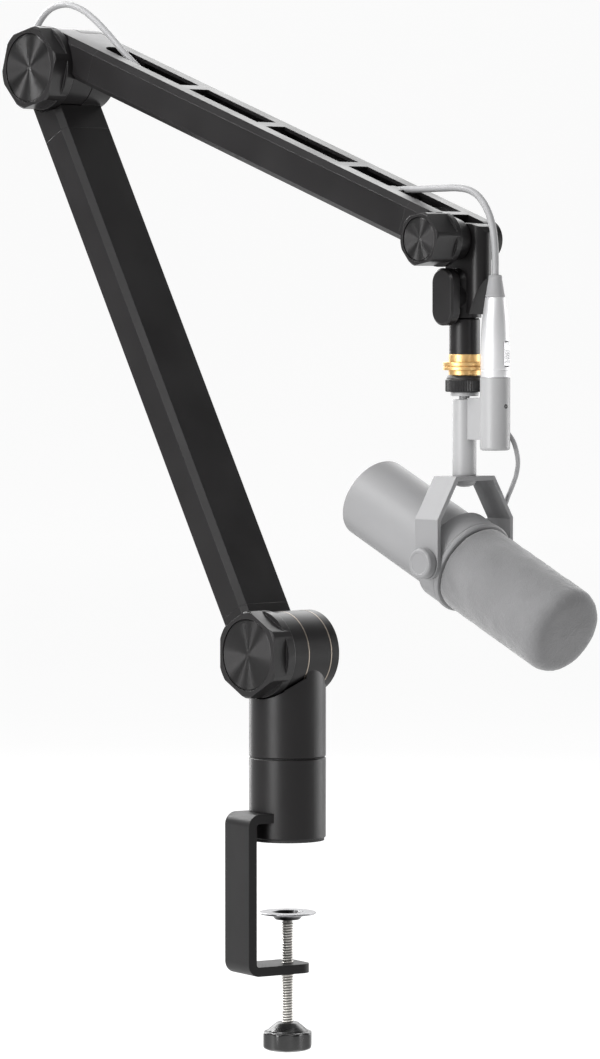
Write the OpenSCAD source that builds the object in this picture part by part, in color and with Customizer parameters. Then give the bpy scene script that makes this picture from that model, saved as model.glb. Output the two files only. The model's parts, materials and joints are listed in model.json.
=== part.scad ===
// End-address condenser microphone in a yoke, hung from a desk-clamp boom arm.
// Frame: the origin is the centre of the base's underside, where it stands on the desk.
// +Z is up, +X is the way the boom reaches, and the three locking knobs face -Y.

/* [Base and clamp] */
// Diameter of the base and of the turret above it
base_d = 50; // [48:1:52]
// Height of the fixed base, from the desk to the turret's seam
base_h = 54; // [50:1:60]
// Width of the clamp's steel strap
strap_w = 30; // [26:1:32]
// Thickness of the clamp's steel strap
strap_t = 6; // [5:0.5:7]
// Turn of the clamp about the vertical, from +X towards +Y
strap_turn = 78.6; // [70:0.1:90]
// Height of the strap's upper arm above the desk
strap_top = 13; // [12:1:16]
// Depth of the strap's lower arm below the desk
strap_drop = 80; // [76:1:90]
// Thickness of the desk that the pad is set for
desk_t = 47; // [40:1:50]
// Outer diameter of the clamp screw's thread
screw_d = 7.9; // [7:0.1:8]

/* [Joints and knobs] */
// Height of the shoulder's axis above the desk
shoulder_z = 122; // [118:1:130]
// Diameter of the shoulder's and the elbow's round ends
barrel_d = 54; // [52:1:56]
// Diameter of a large knob over its round flange
knob_d = 56.4; // [55:0.1:57]
// Width of a large knob across its flats
knob_flats = 51; // [50:0.5:54]
// Length of a large knob along its axis
knob_len = 17.6; // [16:0.1:20]
// Diameter of the wrist's knob
wrist_knob_d = 34.2; // [32:0.1:36]

/* [Boom arms] */
// Width of both arms, along the hinge axes
arm_w = 43.5; // [42:0.5:45]
// Height of both arms
arm_h = 25.5; // [24:0.5:27]
// Size of the bevel along an arm's edges
arm_bevel = 3.75; // [2:0.25:5]
// Wall of the arms' hollow section
arm_wall = 2.4; // [2:0.1:3]
// Distance from the shoulder's axis to the elbow's axis
lower_len = 442; // [430:1:460]
// Distance along the upper arm from the elbow's axis to the wrist's axis
upper_len = 397; // [390:1:410]
// Lean of the lower arm back from the vertical, as it stands
lower_lean = 29.4; // [25:0.1:35]
// Droop of the upper arm below the horizontal, as it stands
upper_droop = 19.5; // [15:0.1:22]
// Width of the cable slots
slot_w = 17; // [13:0.5:18]

/* [Microphone] */
// Length of the microphone from its rear to its front
mic_len = 189.5; // [180:0.5:200]
// Diameter of the microphone's body
mic_d = 53; // [50:0.5:54]
// Diameter of the foam windscreen
screen_d = 56.8; // [54:0.2:58]
// Distance from the microphone's rear to its pivot
pivot_at = 89; // [85:1:92]
// Dip of the microphone's front below the horizontal, as it hangs
mic_dip = 25; // [15:1:30]
// Distance from the wrist's axis down to the microphone's pivot
pivot_drop = 201; // [198:1:206]
// Width of the yoke over its two arms
yoke_w = 67; // [66:0.5:68]

/* [Leads] */
// Diameter of the microphone's long lead
lead_d = 4.5; // [4.2:0.1:4.8]
// Diameter of the short lead between the microphone and its connector
tail_d = 3; // [2.6:0.1:3.2]

/* [Hidden] */

$fn = 96;
fit = 0.06;            // radial clearance of a shaft in its bore
gap = 0.4;             // clearance between two parts that turn past each other
eps = 0.01;            // overshoot of a cut past the face that it leaves
barrel_r = barrel_d / 2;
base_r = base_d / 2;
arm_offset = barrel_r - arm_h / 2;  // from a barrel's axis out to the arm's centre line
pivot_r = 5;           // radius of the shoulder's and the elbow's bolts
foot_len = 37;         // from the shoulder's axis to the end of the lower arm's foot
cap_len = 45;          // from the elbow's axis to the ends of the two arms' caps there
fork_len = 36;         // from the wrist's axis back to the end of the fork's cap
spigot_len = 18;       // the part of a cap that plugs into its arm
knob_face = 18;        // from the arm's middle plane to the faces the large knobs clamp
washer_t = 0.8;        // thickness of the bright joint washers
turret_near = 5.5;     // from the middle plane to the turret's two faces
turret_far = 13.5;
lap = 1;               // the elbow's lap lies this far behind the middle plane
lap_gap = 0.6;         // room around the elbow's two laps
swing_gap = 1.6;       // room around the shoulder's round ends as the arm leans
ear_out = 20.75;       // from the middle plane to the far faces of the hinge ears
slot_bars = [125, 204, 286, 334];   // the bars across an arm's slots, from the elbow's axis
bar_w = 9;
bar_notch = 6;
notch_tip = 36;        // where a cap's cable notch ends, from the elbow's axis
wrist_z_at = [upper_len * cos(upper_droop), -upper_len * sin(upper_droop)];
elbow = [-lower_len * sin(lower_lean), 0, shoulder_z + lower_len * cos(lower_lean)];
wrist = elbow + [wrist_z_at[0] + arm_offset * sin(upper_droop), 0,
                 wrist_z_at[1] + arm_offset * cos(upper_droop)];
pivot = wrist - [0, 0, pivot_drop];
// heights on the microphone's mount, measured down from the wrist's axis
head_end = 48.6;
tube_end = 71.4;
flange_at = 76.3;
adapter_end = 84.4;
nut_end = 94.9;
stem_at = 99.5;
yoke_at = 147.3;
xlr_x = 26.8;          // from the stem's axis out to the connector's axis
xlr_r = 9.4;
xlr_top = 85.8;
xlr_end = 130.9;
boot_at = 35.8;
boot_top = 22;
oval_at = 35.6;
oval_r = 9.3;          // the oval knob: radius of its round ends, and half the way between them
oval_half = 8.6;
oval_back = 13.6;      // from the middle plane to its back and to its face
oval_face = 20.4;

// ---- shapes that repeat -------------------------------------------------------------

module y_rod(r, y0, y1, fn = $fn)
    translate([0, y0, 0]) rotate([-90, 0, 0]) cylinder(r = r, h = y1 - y0, $fn = fn);

module rod(r, z0, z1) translate([0, 0, z0]) cylinder(r = r, h = z1 - z0);

module pipe(r, bore, z0, z1)
    translate([0, 0, z0]) rotate_extrude() translate([bore, 0]) square([r - bore, z1 - z0]);

module on_lower_arm() translate([0, 0, shoulder_z]) rotate([0, -lower_lean, 0]) children();

module on_upper_arm() translate(elbow) rotate([0, 90 + upper_droop, 0]) children();

module on_mount() translate(wrist) children();

module on_mic() translate(pivot) rotate([0, mic_dip, 0]) children();

module along_mic(from = 0) on_mic() translate([from - pivot_at, 0, 0]) rotate([0, 90, 0]) children();

// The arm's cross-section: a rectangle with bevelled corners, shrunk by inset all round.
module arm_outline(inset = 0) {
    a = arm_h / 2 - inset;
    b = arm_w / 2 - inset;
    c = arm_bevel - inset * 0.58;
    translate([-arm_offset, 0])
        polygon([[a - c, -b], [a, c - b], [a, b - c], [a - c, b],
                 [c - a, b], [-a, b - c], [-a, c - b], [c - a, -b]]);
}

module arm_block(z0, z1, inset = 0)
    translate([0, 0, z0]) linear_extrude(z1 - z0) arm_outline(inset);

// A cut through an arm's outer face, over a stretch of its length.
module slot_cut(z0, z1, w = slot_w, depth = arm_wall + 1)
    translate([-barrel_r - 1, -w / 2, z0]) cube([depth + 1, w, z1 - z0]);

// One hollow arm. The slots are given from its elbow end; flip is 1 where that end is at the top.
module arm_tube(z0, z1, elbow_z, flip) {
    ends = [cap_len, for (b = slot_bars) b, flip > 0 ? lower_len - foot_len : upper_len - fork_len];
    difference() {
        arm_block(z0, z1);
        arm_block(z0 - 1, z1 + 1, arm_wall);
        for (i = [0 : len(ends) - 2]) {
            a = ends[i] + (i == 0 ? -1 : bar_w / 2);
            b = ends[i + 1] + (i == len(ends) - 2 ? 1 : -bar_w / 2);
            if (b > a + 8)
                slot_cut(flip > 0 ? elbow_z - b : a, flip > 0 ? elbow_z - a : b);
        }
    }
}

// The round-ended cable notch in a cap's outer face, from its tip to the arm's tube.
module cap_notch(tip, end) {
    s = sign(end - tip);
    translate([-barrel_r - 1, 0, tip + s * slot_w / 2])
        rotate([0, 90, 0]) cylinder(d = slot_w, h = arm_h / 2 + 1, $fn = 48);
    translate([-barrel_r - 1, -slot_w / 2, min(tip + s * slot_w / 2, end + s)])
        cube([arm_h / 2 + 1, slot_w, abs(end - tip) - slot_w / 2 + 1]);
}

// A locking knob: a round blank with six flats milled back to a round flange, its front
// face at y = -front. A shallow seat holds the turned metal disc.
module knob_blank(r, flats, back, front, flange, bevel, disc_r, spin, bolt_r) {
    difference() {
        rotate([90, 0, 0]) rotate([0, 0, spin]) rotate_extrude()
            polygon([[0, back], [r - 0.8, back], [r, back + 0.8], [r, front - bevel],
                     [r - bevel * 0.45, front - 0.6], [r - bevel * 0.45 - 0.6, front],
                     [disc_r, front], [disc_r, front - 1.6], [0, front - 1.6]]);
        for (i = [0 : 5])
            rotate([0, spin + i * 60, 0])
                translate([-r, -front - 1, flats]) cube([2 * r, front - back - flange + 1, r]);
        y_rod(bolt_r + fit, -front - 1, -back + 1);
    }
}

module knob_disc(r, front)
    rotate([90, 0, 0]) rotate_extrude()
        polygon([[0, front - 1.6], [r - 0.15, front - 1.6], [r - 0.15, front - 0.9],
                 [r - 1, front - 0.5], [0, front - 1.1]]);

// A tube along points, its sides joined ring to ring. Every ring keeps one side towards ref,
// a direction that the tube never runs along.
function unit(v) = v / norm(v);
function heading(p, i) = unit(p[min(i + 1, len(p) - 1)] - p[max(i - 1, 0)]);
function ring(p, i, r, n, ref) =
    let (t = heading(p, i), u = unit(cross(t, ref)), v = cross(t, u))
        [for (k = [0 : n - 1]) p[i] + r * cos(360 * k / n) * u + r * sin(360 * k / n) * v];

module tube_along(p, d, n = 8, ref = [0, 1, 0]) {
    m = len(p);
    polyhedron(
        [for (i = [0 : m - 1]) each ring(p, i, d / 2, n, ref)],
        concat([[for (k = [0 : n - 1]) k]],
               [for (i = [0 : m - 2], k = [0 : n - 1])
                   [i * n + k, (i + 1) * n + k, (i + 1) * n + (k + 1) % n, i * n + (k + 1) % n]],
               [[for (k = [n - 1 : -1 : 0]) (m - 1) * n + k]]),
        convexity = 8);
}

// ---- base and clamp -----------------------------------------------------------------

module on_strap() rotate([0, 0, strap_turn]) children();

strap_out = 38.4;      // from the base's axis out to the strap's upright face
strap_tip = 10.7;      // the lower arm's tip, past the screw's axis
strap_in = 14;         // the upper arm's tip, inside the base
bolt_at = [-17, 9];    // the two bracket screws, out from the axis and to each side
bush_at = 36;

module base_body() color([0.16, 0.155, 0.16]) difference() {
    translate([0, 0, 2]) rotate_extrude()
        polygon([[0, 0], [base_r - 0.4, 0], [base_r, 0.4], [base_r, base_h - 2.6],
                 [base_r - 0.6, base_h - 2], [0, base_h - 2]]);
    on_strap() translate([-base_r - 1, -strap_w / 2 - 0.1, strap_top])
        cube([base_r + 1 + strap_in + 0.3, strap_w + 0.2, strap_t + 0.1]);
    rod(8, 2 - eps, strap_top + eps);
    rod(15, strap_top + strap_t, bush_at);
    rod(12, bush_at - eps, base_h + eps);
    on_strap() for (s = [-1, 1]) translate([bolt_at[0], s * bolt_at[1], 0]) {
        rod(2.6, 2 - eps, strap_top + eps);
        rod(4.5, 2 - eps, 8);
    }
}

module foot_pad() color([0.1, 0.1, 0.1]) rod(base_r - 1, 0, 2);

module clamp_bracket() color([0.2, 0.195, 0.2]) on_strap() difference() {
    rotate([90, 0, 0]) linear_extrude(strap_w, center = true) difference() {
        strap_side(0);
        strap_side(strap_t);
    }
    for (s = [-1, 1]) {
        translate([bolt_at[0], s * bolt_at[1], 0]) rod(2.5 + fit, strap_top - 1, strap_top + 7);
        // the lower arm's two rounded corners
        translate([strap_tip - 8, s * (strap_w / 2 - 8), -strap_drop - strap_t - 1])
            difference() {
                translate([0, s > 0 ? 0 : -9, 0]) cube([9, 9, strap_t + 2]);
                translate([0, 0, -1]) cylinder(r = 8, h = strap_t + 4);
            }
    }
    rod(screw_d / 2 + fit, -strap_drop - strap_t - 1, -strap_drop + 1);
}

// The clamp seen from the side, as a solid block with rounded bends, shrunk by inset.
module strap_side(inset) {
    r = 8 - inset;
    x0 = -strap_out + inset;
    z0 = -strap_drop - strap_t + inset;
    z1 = strap_top + strap_t - inset;
    x1 = inset > 0 ? 60 : strap_tip;
    translate([x0 + r, z0]) square([x1 - x0 - r, z1 - z0]);
    translate([x0, z0 + r]) square([r, z1 - z0 - 2 * r]);
    for (z = [z0 + r, z1 - r]) translate([x0 + r, z]) circle(r);
    if (inset == 0) translate([x0 + r, strap_top]) square([strap_in - x0 - r, strap_t]);
}

module bracket_screws() color([0.35, 0.35, 0.36]) on_strap() for (s = [-1, 1])
    translate([bolt_at[0], s * bolt_at[1], 0]) difference() {
        union() {
            rod(4.2, 3, 8);
            rod(2.5, 8 - eps, strap_top + strap_t);
        }
        translate([0, 0, 2]) cylinder(d = 4.6, h = 4, $fn = 6);
    }

module pan_bush() color([0.75, 0.55, 0.3]) difference() {
    union() {
        rod(12 - 0.02, bush_at, base_h);
        rod(base_r - 1.2, base_h, base_h + 0.5);
    }
    rod(8 + fit, bush_at - 1, base_h + 1);
}

// ---- turret --------------------------------------------------------------------------

module turret_body() color([0.17, 0.165, 0.17]) difference() {
    union() {
        translate([0, 0, base_h + 0.55]) rotate_extrude()
            polygon([[0, 0], [base_r - 0.6, 0], [base_r, 0.6], [base_r, shoulder_z - base_h - 1],
                     [0, shoulder_z - base_h - 1]]);
        translate([0, 0, shoulder_z]) y_rod(barrel_r, -turret_near, turret_far);
    }
    translate([0, 0, shoulder_z]) {
        y_rod(barrel_r + swing_gap, -knob_face - 0.2, -turret_near);
        y_rod(barrel_r + 2.2, -base_r - 1, -knob_face - 0.2 + eps);
        y_rod(barrel_r + swing_gap, turret_far, base_r + 1);
        y_rod(pivot_r + fit, -base_r - 1, base_r + 1);
    }
    rod(8, base_h, 76);
}

module pan_spindle() color([0.6, 0.6, 0.62]) rod(8 - 0.02, 22, 75.9);

module pan_nut() color([0.55, 0.55, 0.57]) {
    difference() {
        translate([0, 0, 26]) cylinder(r = 13.5, h = 7.5, $fn = 6);
        rod(8, 25, 40);
    }
    pipe(14.2, 8, 33.5, 35.8);
}

module shoulder_washers() color([0.8, 0.78, 0.74]) translate([0, 0, shoulder_z])
    for (y = [-turret_near - washer_t, turret_far])
        difference() {
            y_rod(barrel_r + 0.1, y, y + washer_t);
            y_rod(pivot_r + fit, y - 1, y + 2);
        }

// ---- lower arm -----------------------------------------------------------------------

module lower_arm_tube() color([0.19, 0.185, 0.19]) on_lower_arm()
    arm_tube(foot_len, lower_len - cap_len, lower_len, 1);

module spigot(z0, z1) difference() {
    arm_block(z0, z1, arm_wall + 0.05);
    arm_block(z0 - 1, z1 + 1, arm_wall + 2.4);
    slot_cut(z0 - 1, z1 + 1, slot_w + 1, arm_wall + 4);
}

module lower_arm_foot() color([0.17, 0.165, 0.17]) on_lower_arm() {
    difference() {
        union() {
            arm_block(0, foot_len);
            y_rod(barrel_r, -knob_face, ear_out);
        }
        y_rod(barrel_r + swing_gap, -turret_near - washer_t - 0.05, turret_far + washer_t + 0.05);
        y_rod(barrel_r + 2.5, -arm_w, -knob_face);
        y_rod(barrel_r + 2.5, ear_out, arm_w);
        y_rod(pivot_r + fit, -arm_w, arm_w);
        y_rod(8.6, ear_out - 4.4, arm_w);
    }
    spigot(foot_len - eps, foot_len + spigot_len);
}

module lower_arm_head() color([0.17, 0.165, 0.17]) on_lower_arm() {
    difference() {
        union() {
            arm_block(lower_len - cap_len, lower_len);
            translate([0, 0, lower_len]) y_rod(barrel_r, lap, ear_out);
        }
        translate([0, 0, lower_len]) {
            y_rod(barrel_r + lap_gap, -knob_face - 0.3, lap);
            y_rod(barrel_r + 2.5, -arm_w, -knob_face);
            y_rod(barrel_r + 2.5, ear_out, arm_w);
            y_rod(pivot_r + fit, -arm_w, arm_w);
            y_rod(8.6, ear_out - 4.4, arm_w);
        }
        cap_notch(lower_len - notch_tip, lower_len - cap_len);
    }
    spigot(lower_len - cap_len - spigot_len, lower_len - cap_len + eps);
}

// A socket-head hinge bolt that lies along Y, its head sunk in the far ear.
module hinge_bolt(r, head_r, head_y, end_y) difference() {
    union() {
        y_rod(r, -end_y, head_y);
        y_rod(head_r, head_y - eps, head_y + r * 0.84);
    }
    y_rod(r * 0.8, head_y + 1, head_y + r * 2, 6);
}

module shoulder_bolt() color([0.3, 0.3, 0.31]) on_lower_arm()
    hinge_bolt(pivot_r, 8.4, ear_out - 4.4, knob_face + 14);

module elbow_bolt() color([0.3, 0.3, 0.31]) on_lower_arm() translate([0, 0, lower_len])
    hinge_bolt(pivot_r, 8.4, ear_out - 4.4, knob_face + 14);

// ---- upper arm -----------------------------------------------------------------------

module elbow_washer() color([0.2, 0.2, 0.2]) translate(elbow) difference() {
    y_rod(barrel_r - 1.2, lap - washer_t, lap - 0.05);
    y_rod(pivot_r + fit, -2, 2);
}

module upper_arm_tube() color([0.19, 0.185, 0.19]) on_upper_arm() difference() {
    arm_tube(cap_len, upper_len - fork_len, upper_len, 0);
    // the bar nearest the wrist is notched for the lead
    slot_cut(slot_bars[3] - bar_w, slot_bars[3] + bar_w, bar_notch);
}

module upper_arm_heel() color([0.17, 0.165, 0.17]) on_upper_arm() {
    difference() {
        union() {
            arm_block(0, cap_len);
            y_rod(barrel_r, -knob_face, lap - washer_t);
        }
        y_rod(barrel_r + lap_gap, lap - washer_t, ear_out + 0.3);
        y_rod(barrel_r + 2.5, -arm_w, -knob_face);
        y_rod(barrel_r + 2.5, ear_out + 0.3 - eps, arm_w);
        y_rod(pivot_r + fit, -arm_w, arm_w);
        cap_notch(notch_tip, cap_len);
    }
    spigot(cap_len - eps, cap_len + spigot_len);
}

ear_r = 12.75;         // radius of the fork's round ends
fork_near = 7.4;       // the gap between the fork's ears, on the near side and on the far side
fork_far = 9.4;
wrist_bolt_r = 4;

module upper_arm_fork() color([0.17, 0.165, 0.17]) on_upper_arm() {
    difference() {
        union() {
            arm_block(upper_len - fork_len, upper_len);
            translate([-arm_offset, 0, upper_len]) y_rod(ear_r, -knob_face, ear_out);
        }
        // the gap for the head, its back wall sloping away from the swinging stem
        translate([-arm_offset, 0, upper_len]) rotate([-90, 0, 0])
            translate([0, 0, -fork_near]) linear_extrude(fork_near + fork_far)
                polygon([[-20, 11.2], [-8, 11.2], [14, 25], [20, 25], [20, -20], [-20, -20]]);
        translate([-arm_offset, 0, upper_len]) {
            difference() {
                union() {
                    y_rod(30, -arm_w, -knob_face);
                    y_rod(30, ear_out, arm_w);
                }
                translate([-50, -50, -80]) cube([100, 100, 61]);
            }
            y_rod(wrist_bolt_r + fit, -arm_w, arm_w);
            y_rod(7.2, ear_out - 3.6, arm_w);
        }
        slot_cut(upper_len - fork_len - 1, upper_len - 17, slot_w, arm_wall + 1);
    }
    spigot(upper_len - fork_len - spigot_len, upper_len - fork_len + eps);
}

module wrist_bolt() color([0.3, 0.3, 0.31]) on_mount()
    hinge_bolt(wrist_bolt_r, 7, ear_out - 3.6, knob_face + 14);

// ---- wrist head ----------------------------------------------------------------------

head_near = 6.6;       // from the middle plane to the head's two flat faces
head_far = 8.6;
head_front = 19.2;     // from the wrist's axis forward to the head's rounded front
head_round = 7.4;       // radius of the front's two upright corners

// The head from above: flat towards the fork's ears, with two round corners in front.
module head_plan() {
    translate([-12, -head_near]) square([head_front - head_round + 12, head_near + head_far]);
    translate([0, -head_near + head_round])
        square([head_front, head_near + head_far - 2 * head_round]);
    for (y = [-head_near + head_round, head_far - head_round])
        translate([head_front - head_round, y]) circle(head_round);
}

module wrist_head() color([0.15, 0.145, 0.15]) on_mount() difference() {
    union() {
        intersection() {
            rotate([-90, 0, 0]) translate([0, 0, -head_near]) linear_extrude(head_near + head_far) {
                circle(r = 10.6);
                polygon([[-10.4, 0], [0, -10.6], [12.5, -9.6], [17, -8], [19.4, -4], [19.4, 24],
                         [10.4, 46.5], [-10.4, 40]]);
            }
            translate([0, 0, -50]) linear_extrude(70) head_plan();
        }
        rod(10.5, -head_end, -26);
        translate([0, 0, -26]) sphere(r = 10.5);
        translate([0, 0, -oval_at]) y_rod(oval_r - 0.6, -oval_back + gap, 0);
    }
    y_rod(wrist_bolt_r + fit, -20, 20);
    rod(7 + fit, -head_end - 1, -26);
    translate([0, 0, -oval_at]) y_rod(2.5 + fit, -20, 0);
}

module wrist_washers() color([0.8, 0.78, 0.74]) on_mount()
    for (y = [[-fork_near + 0.05, -head_near], [head_far, fork_far - 0.05]])
        difference() {
            y_rod(10.6, y[0], y[1]);
            y_rod(wrist_bolt_r + fit, -20, 20);
        }

// ---- microphone mount ----------------------------------------------------------------

module mount_tube() color([0.14, 0.135, 0.14]) on_mount() difference() {
    union() {
        rod(7, -head_end - 1, -27);
        translate([0, 0, -tube_end]) rotate_extrude()
            polygon([[0, 0], [9.6, 0], [9.6, tube_end - head_end - 1.2],
                     [8.8, tube_end - head_end - 0.2], [0, tube_end - head_end - 0.2]]);
    }
    rod(4, -tube_end - 1, -tube_end + 12);
}

module brass_adapter() color([0.86, 0.64, 0.32]) on_mount() {
    pipe(9.9, 4.2, -flange_at, -tube_end);
    pipe(13.5, 4.2, -flange_at - 5, -flange_at);
    pipe(10, 4.2, -adapter_end, -flange_at - 5);
    rod(3.98, -tube_end - 2, -tube_end + 11);
    rod(7.9, -nut_end + 4, -adapter_end);
}

module knurled_nut() color([0.15, 0.15, 0.15]) on_mount() difference() {
    translate([0, 0, -nut_end]) rotate_extrude()
        polygon([[0, 0], [11.5, 0], [12, 0.5], [12, 9], [10.4, 10.2], [0, 10.2]]);
    rod(7.9 + fit, -nut_end + 2, -80);
    rod(5.4, -nut_end - 1, -nut_end + 3);
}

module mic_stem() color([0.7, 0.7, 0.7]) on_mount() {
    rod(8.8, -97.4, -nut_end - 0.1);
    rod(5.3, -stem_at, -nut_end + 2.2);
    rod(7.4, -nut_end + 2.1, -nut_end + 3.8);
    rod(7.5, -yoke_at, -stem_at);
}

module yoke_side(inset) {
    half = yoke_w / 2 - inset;
    top = -yoke_at - inset;
    slope = inset * 0.56;
    polygon([[17 - slope, top], [half, -yoke_at - 26.5 - slope * 0.5], [half, -pivot_drop - 12],
             [-half, -pivot_drop - 12], [-half, -yoke_at - 26.5 - slope * 0.5],
             [slope - 17, top]]);
}

module mic_yoke() color([0.68, 0.68, 0.68]) on_mount() difference() {
    intersection() {
        rotate([90, 0, 90]) linear_extrude(20, center = true) difference() {
            yoke_side(0);
            yoke_side(3);
        }
        union() {
            translate([-11, -40, -pivot_drop]) cube([22, 80, 70]);
            translate([0, 0, -pivot_drop]) y_rod(10, -40, 40);
        }
    }
    translate([0, 0, -pivot_drop]) y_rod(3 + fit, -40, 40);
    rod(3 + fit, -yoke_at - 5, -yoke_at + 1);
}

module yoke_bolt() color([0.6, 0.6, 0.6]) on_mount() {
    translate([0, 0, -yoke_at - 3]) rotate([180, 0, 0]) rotate_extrude()
        polygon([[0, 0], [7.4, 0], [7.4, 0.8], [6, 2.8], [3, 3.8], [0, 4]]);
    rod(3, -yoke_at - 3 - eps, -yoke_at);
}

module xlr_barrel() color([0.66, 0.66, 0.66]) on_mount() {
    difference() {
        union() {
            translate([xlr_x, 0, -xlr_end]) rotate_extrude()
                polygon([[0, 0], [xlr_r - 1.5, 0], [xlr_r - 0.4, 0.5], [xlr_r, 1.6],
                         [xlr_r, xlr_end - xlr_top], [0, xlr_end - xlr_top]]);
            translate([0, -4, -124.5]) cube([xlr_x, 8, 26]);
        }
        rod(7.5, -140, -60);
        translate([xlr_x, 0, 0]) rod(8, -xlr_top - 16, -60);
    }
}

module xlr_pins() color([0.75, 0.72, 0.6]) on_mount() translate([xlr_x, 0, 0])
    for (a = [0, 120, 240]) rotate([0, 0, a]) translate([3.6, 0, 0])
        rod(1.2, -xlr_top - 16, -xlr_top + 8);

latch_z = -70;         // middle of the plug's latch window, below the wrist's axis
latch_turn = 8;        // from +X towards +Y

module plug_shell() color([0.85, 0.85, 0.86]) on_mount() translate([xlr_x, 0, 0]) {
    difference() {
        rotate_extrude()
            polygon([[0, -xlr_top], [9.1, -xlr_top], [9.1, -66], [8.2, -50], [6.2, -boot_at],
                     [0, -boot_at]]);
        rod(2.6, -50, -20);
        for (a = [0, 120, 240]) rotate([0, 0, a]) translate([3.6, 0, 0]) rod(1.4, -xlr_top - 1, -70);
        rotate([0, 0, latch_turn]) translate([6, -2.6, latch_z - 9]) cube([5, 5.2, 16]);
    }
    difference() {
        rod(7.9, -xlr_top - 3.5, -xlr_top + eps);
        for (a = [0, 120, 240]) rotate([0, 0, a]) translate([3.6, 0, 0]) rod(1.4, -100, -70);
    }
}

module plug_latch() color([0.6, 0.6, 0.62]) on_mount() translate([xlr_x, 0, 0])
    rotate([0, 0, latch_turn]) translate([7.6, -2.4, latch_z - 8.8]) cube([1.6, 4.8, 15.6]);

module plug_boot() color([0.55, 0.55, 0.55]) on_mount() translate([xlr_x, 0, 0])
    rotate_extrude() polygon([[0, -boot_at], [6.1, -boot_at], [3.7, -boot_top], [0, -boot_top]]);

module oval_knob() color([0.15, 0.145, 0.15]) on_mount() translate([0, 0, -oval_at]) {
    rotate([90, 0, 0]) {
        translate([0, 0, oval_back])
            linear_extrude(oval_face - 1.3 - oval_back) stadium(oval_r, oval_half);
        translate([0, 0, oval_face - 1.3 - eps])
            bevelled_stadium(oval_r, oval_r - 1.3, oval_half, 1.3 + eps);
    }
    y_rod(2.5, -oval_back - 1, -7.4);
}

module stadium(r, half) {
    square([2 * r, 2 * half], center = true);
    for (s = [-1, 1]) translate([0, s * half]) circle(r);
}

// The same outline, narrowing from radius r0 to r1 over its height.
module bevelled_stadium(r0, r1, half, h) {
    rotate([90, 0, 0]) linear_extrude(2 * half, center = true)
        polygon([[-r0, 0], [r0, 0], [r1, h], [-r1, h]]);
    for (s = [-1, 1]) translate([0, s * half]) cylinder(r1 = r0, r2 = r1, h = h);
}

// ---- microphone ----------------------------------------------------------------------

mic_r = mic_d / 2;
band_at = 79;          // distances along the microphone from its rear
ring_at = 95;
foam_at = 98.5;
band_r = 29.8;
ring_r = 30.3;
screen_r = screen_d / 2;

module mic_body() color([0.62, 0.62, 0.62]) along_mic() rotate_extrude()
    polygon(concat([[mic_r - 2.2, 4]], [[mic_r - 2.2, 0.8]],
                   [for (a = [0 : 15 : 90]) [mic_r - 4 + 4 * sin(a), 4 - 4 * cos(a)]],
                   [[mic_r, band_at], [mic_r - 2.2, band_at]]));

module mic_rear_cover() color([0.4, 0.4, 0.4]) along_mic() difference() {
    rod(mic_r - 2.3, 1, 4);
    for (a = [45 : 90 : 315]) rotate([0, 0, a]) translate([19, 0, 0]) rod(1.6, 0, 2.6);
}

module mic_band() color([0.6, 0.6, 0.6]) difference() {
    along_mic() rotate_extrude()
        polygon([[23, band_at], [band_r - 1, band_at], [band_r, band_at + 1],
                 [band_r, ring_at - 0.6], [band_r - 0.5, ring_at], [ring_r - 0.6, ring_at + 0.1],
                 [ring_r, ring_at + 1], [ring_r, foam_at - 0.8], [ring_r - 0.8, foam_at],
                 [23, foam_at]]);
    on_mic() {
        y_rod(3 + fit, -40, 40);
        for (s = [-1, 1]) scale([1, s, 1]) y_rod(7.05, 27, 40);
    }
}

module windscreen() color([0.55, 0.55, 0.55]) along_mic() difference() {
    rotate_extrude() polygon(concat(
        [[0, foam_at], [screen_r, foam_at]],
        [for (a = [0 : 10 : 80])
            [screen_r - 11 + 11 * cos(a), mic_len - 12.5 + 11 * sin(a)]],
        [[10, mic_len - 0.3], [0, mic_len]]));
    rod(24, foam_at - 1, mic_len - 10);
}

module grille_cage() color([0.3, 0.3, 0.3]) along_mic() difference() {
    rod(23.4, foam_at + 0.1, mic_len - 11);
    rod(22.2, foam_at - 1, mic_len - 12.4);
    for (a = [0 : 30 : 150], m = [108, 128, 148]) rotate([0, 0, a])
        translate([-30, -4, m]) cube([60, 8, 14]);
}

module capsule() color([0.8, 0.7, 0.4]) along_mic() rod(17, 150, 162);

module capsule_mount() color([0.12, 0.12, 0.12]) along_mic() pipe(22.1, 17.1, 152, 160);

module circuit_board() color([0.1, 0.35, 0.15]) along_mic() {
    translate([-16, -0.8, 14]) cube([32, 1.6, 58]);
    for (m = [22, 38, 54]) translate([-8, 0.8, m]) cube([10, 6, 9]);
}

module pivot_studs() color([0.5, 0.5, 0.5]) on_mic() for (s = [-1, 1]) scale([1, s, 1]) {
    y_rod(3, 24, 38);
    y_rod(7, 27, yoke_w / 2 - 3.1);
}

// A yoke lock knob on its stud, on the side that dir names.
module side_knob(dir) color([0.62, 0.62, 0.62]) on_mic() scale([1, dir, 1]) difference() {
    translate([0, yoke_w / 2 + 0.15, 0]) rotate([-90, 0, 0]) rotate_extrude()
        polygon([[0, 0], [8.9, 0], [9.5, 0.6], [9.5, 5.6], [8.7, 6.4], [0, 6.4]]);
    y_rod(3 + fit, 20, yoke_w / 2 + 5);
}

module side_knob_near() side_knob(-1);

module side_knob_far() side_knob(1);

// ---- locking knobs -------------------------------------------------------------------

knob_back = knob_face + gap;
knob_front = knob_back + knob_len;
disc_r = 23.2;
wrist_knob_front = knob_back + 22.2;
wrist_disc_r = 13.9;

module big_knob(spin)
    knob_blank(knob_d / 2, knob_flats / 2, knob_back, knob_front, 6.6, 1.2, disc_r, spin, pivot_r);

module shoulder_knob() color([0.13, 0.13, 0.13]) translate([0, 0, shoulder_z]) big_knob(30);

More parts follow.
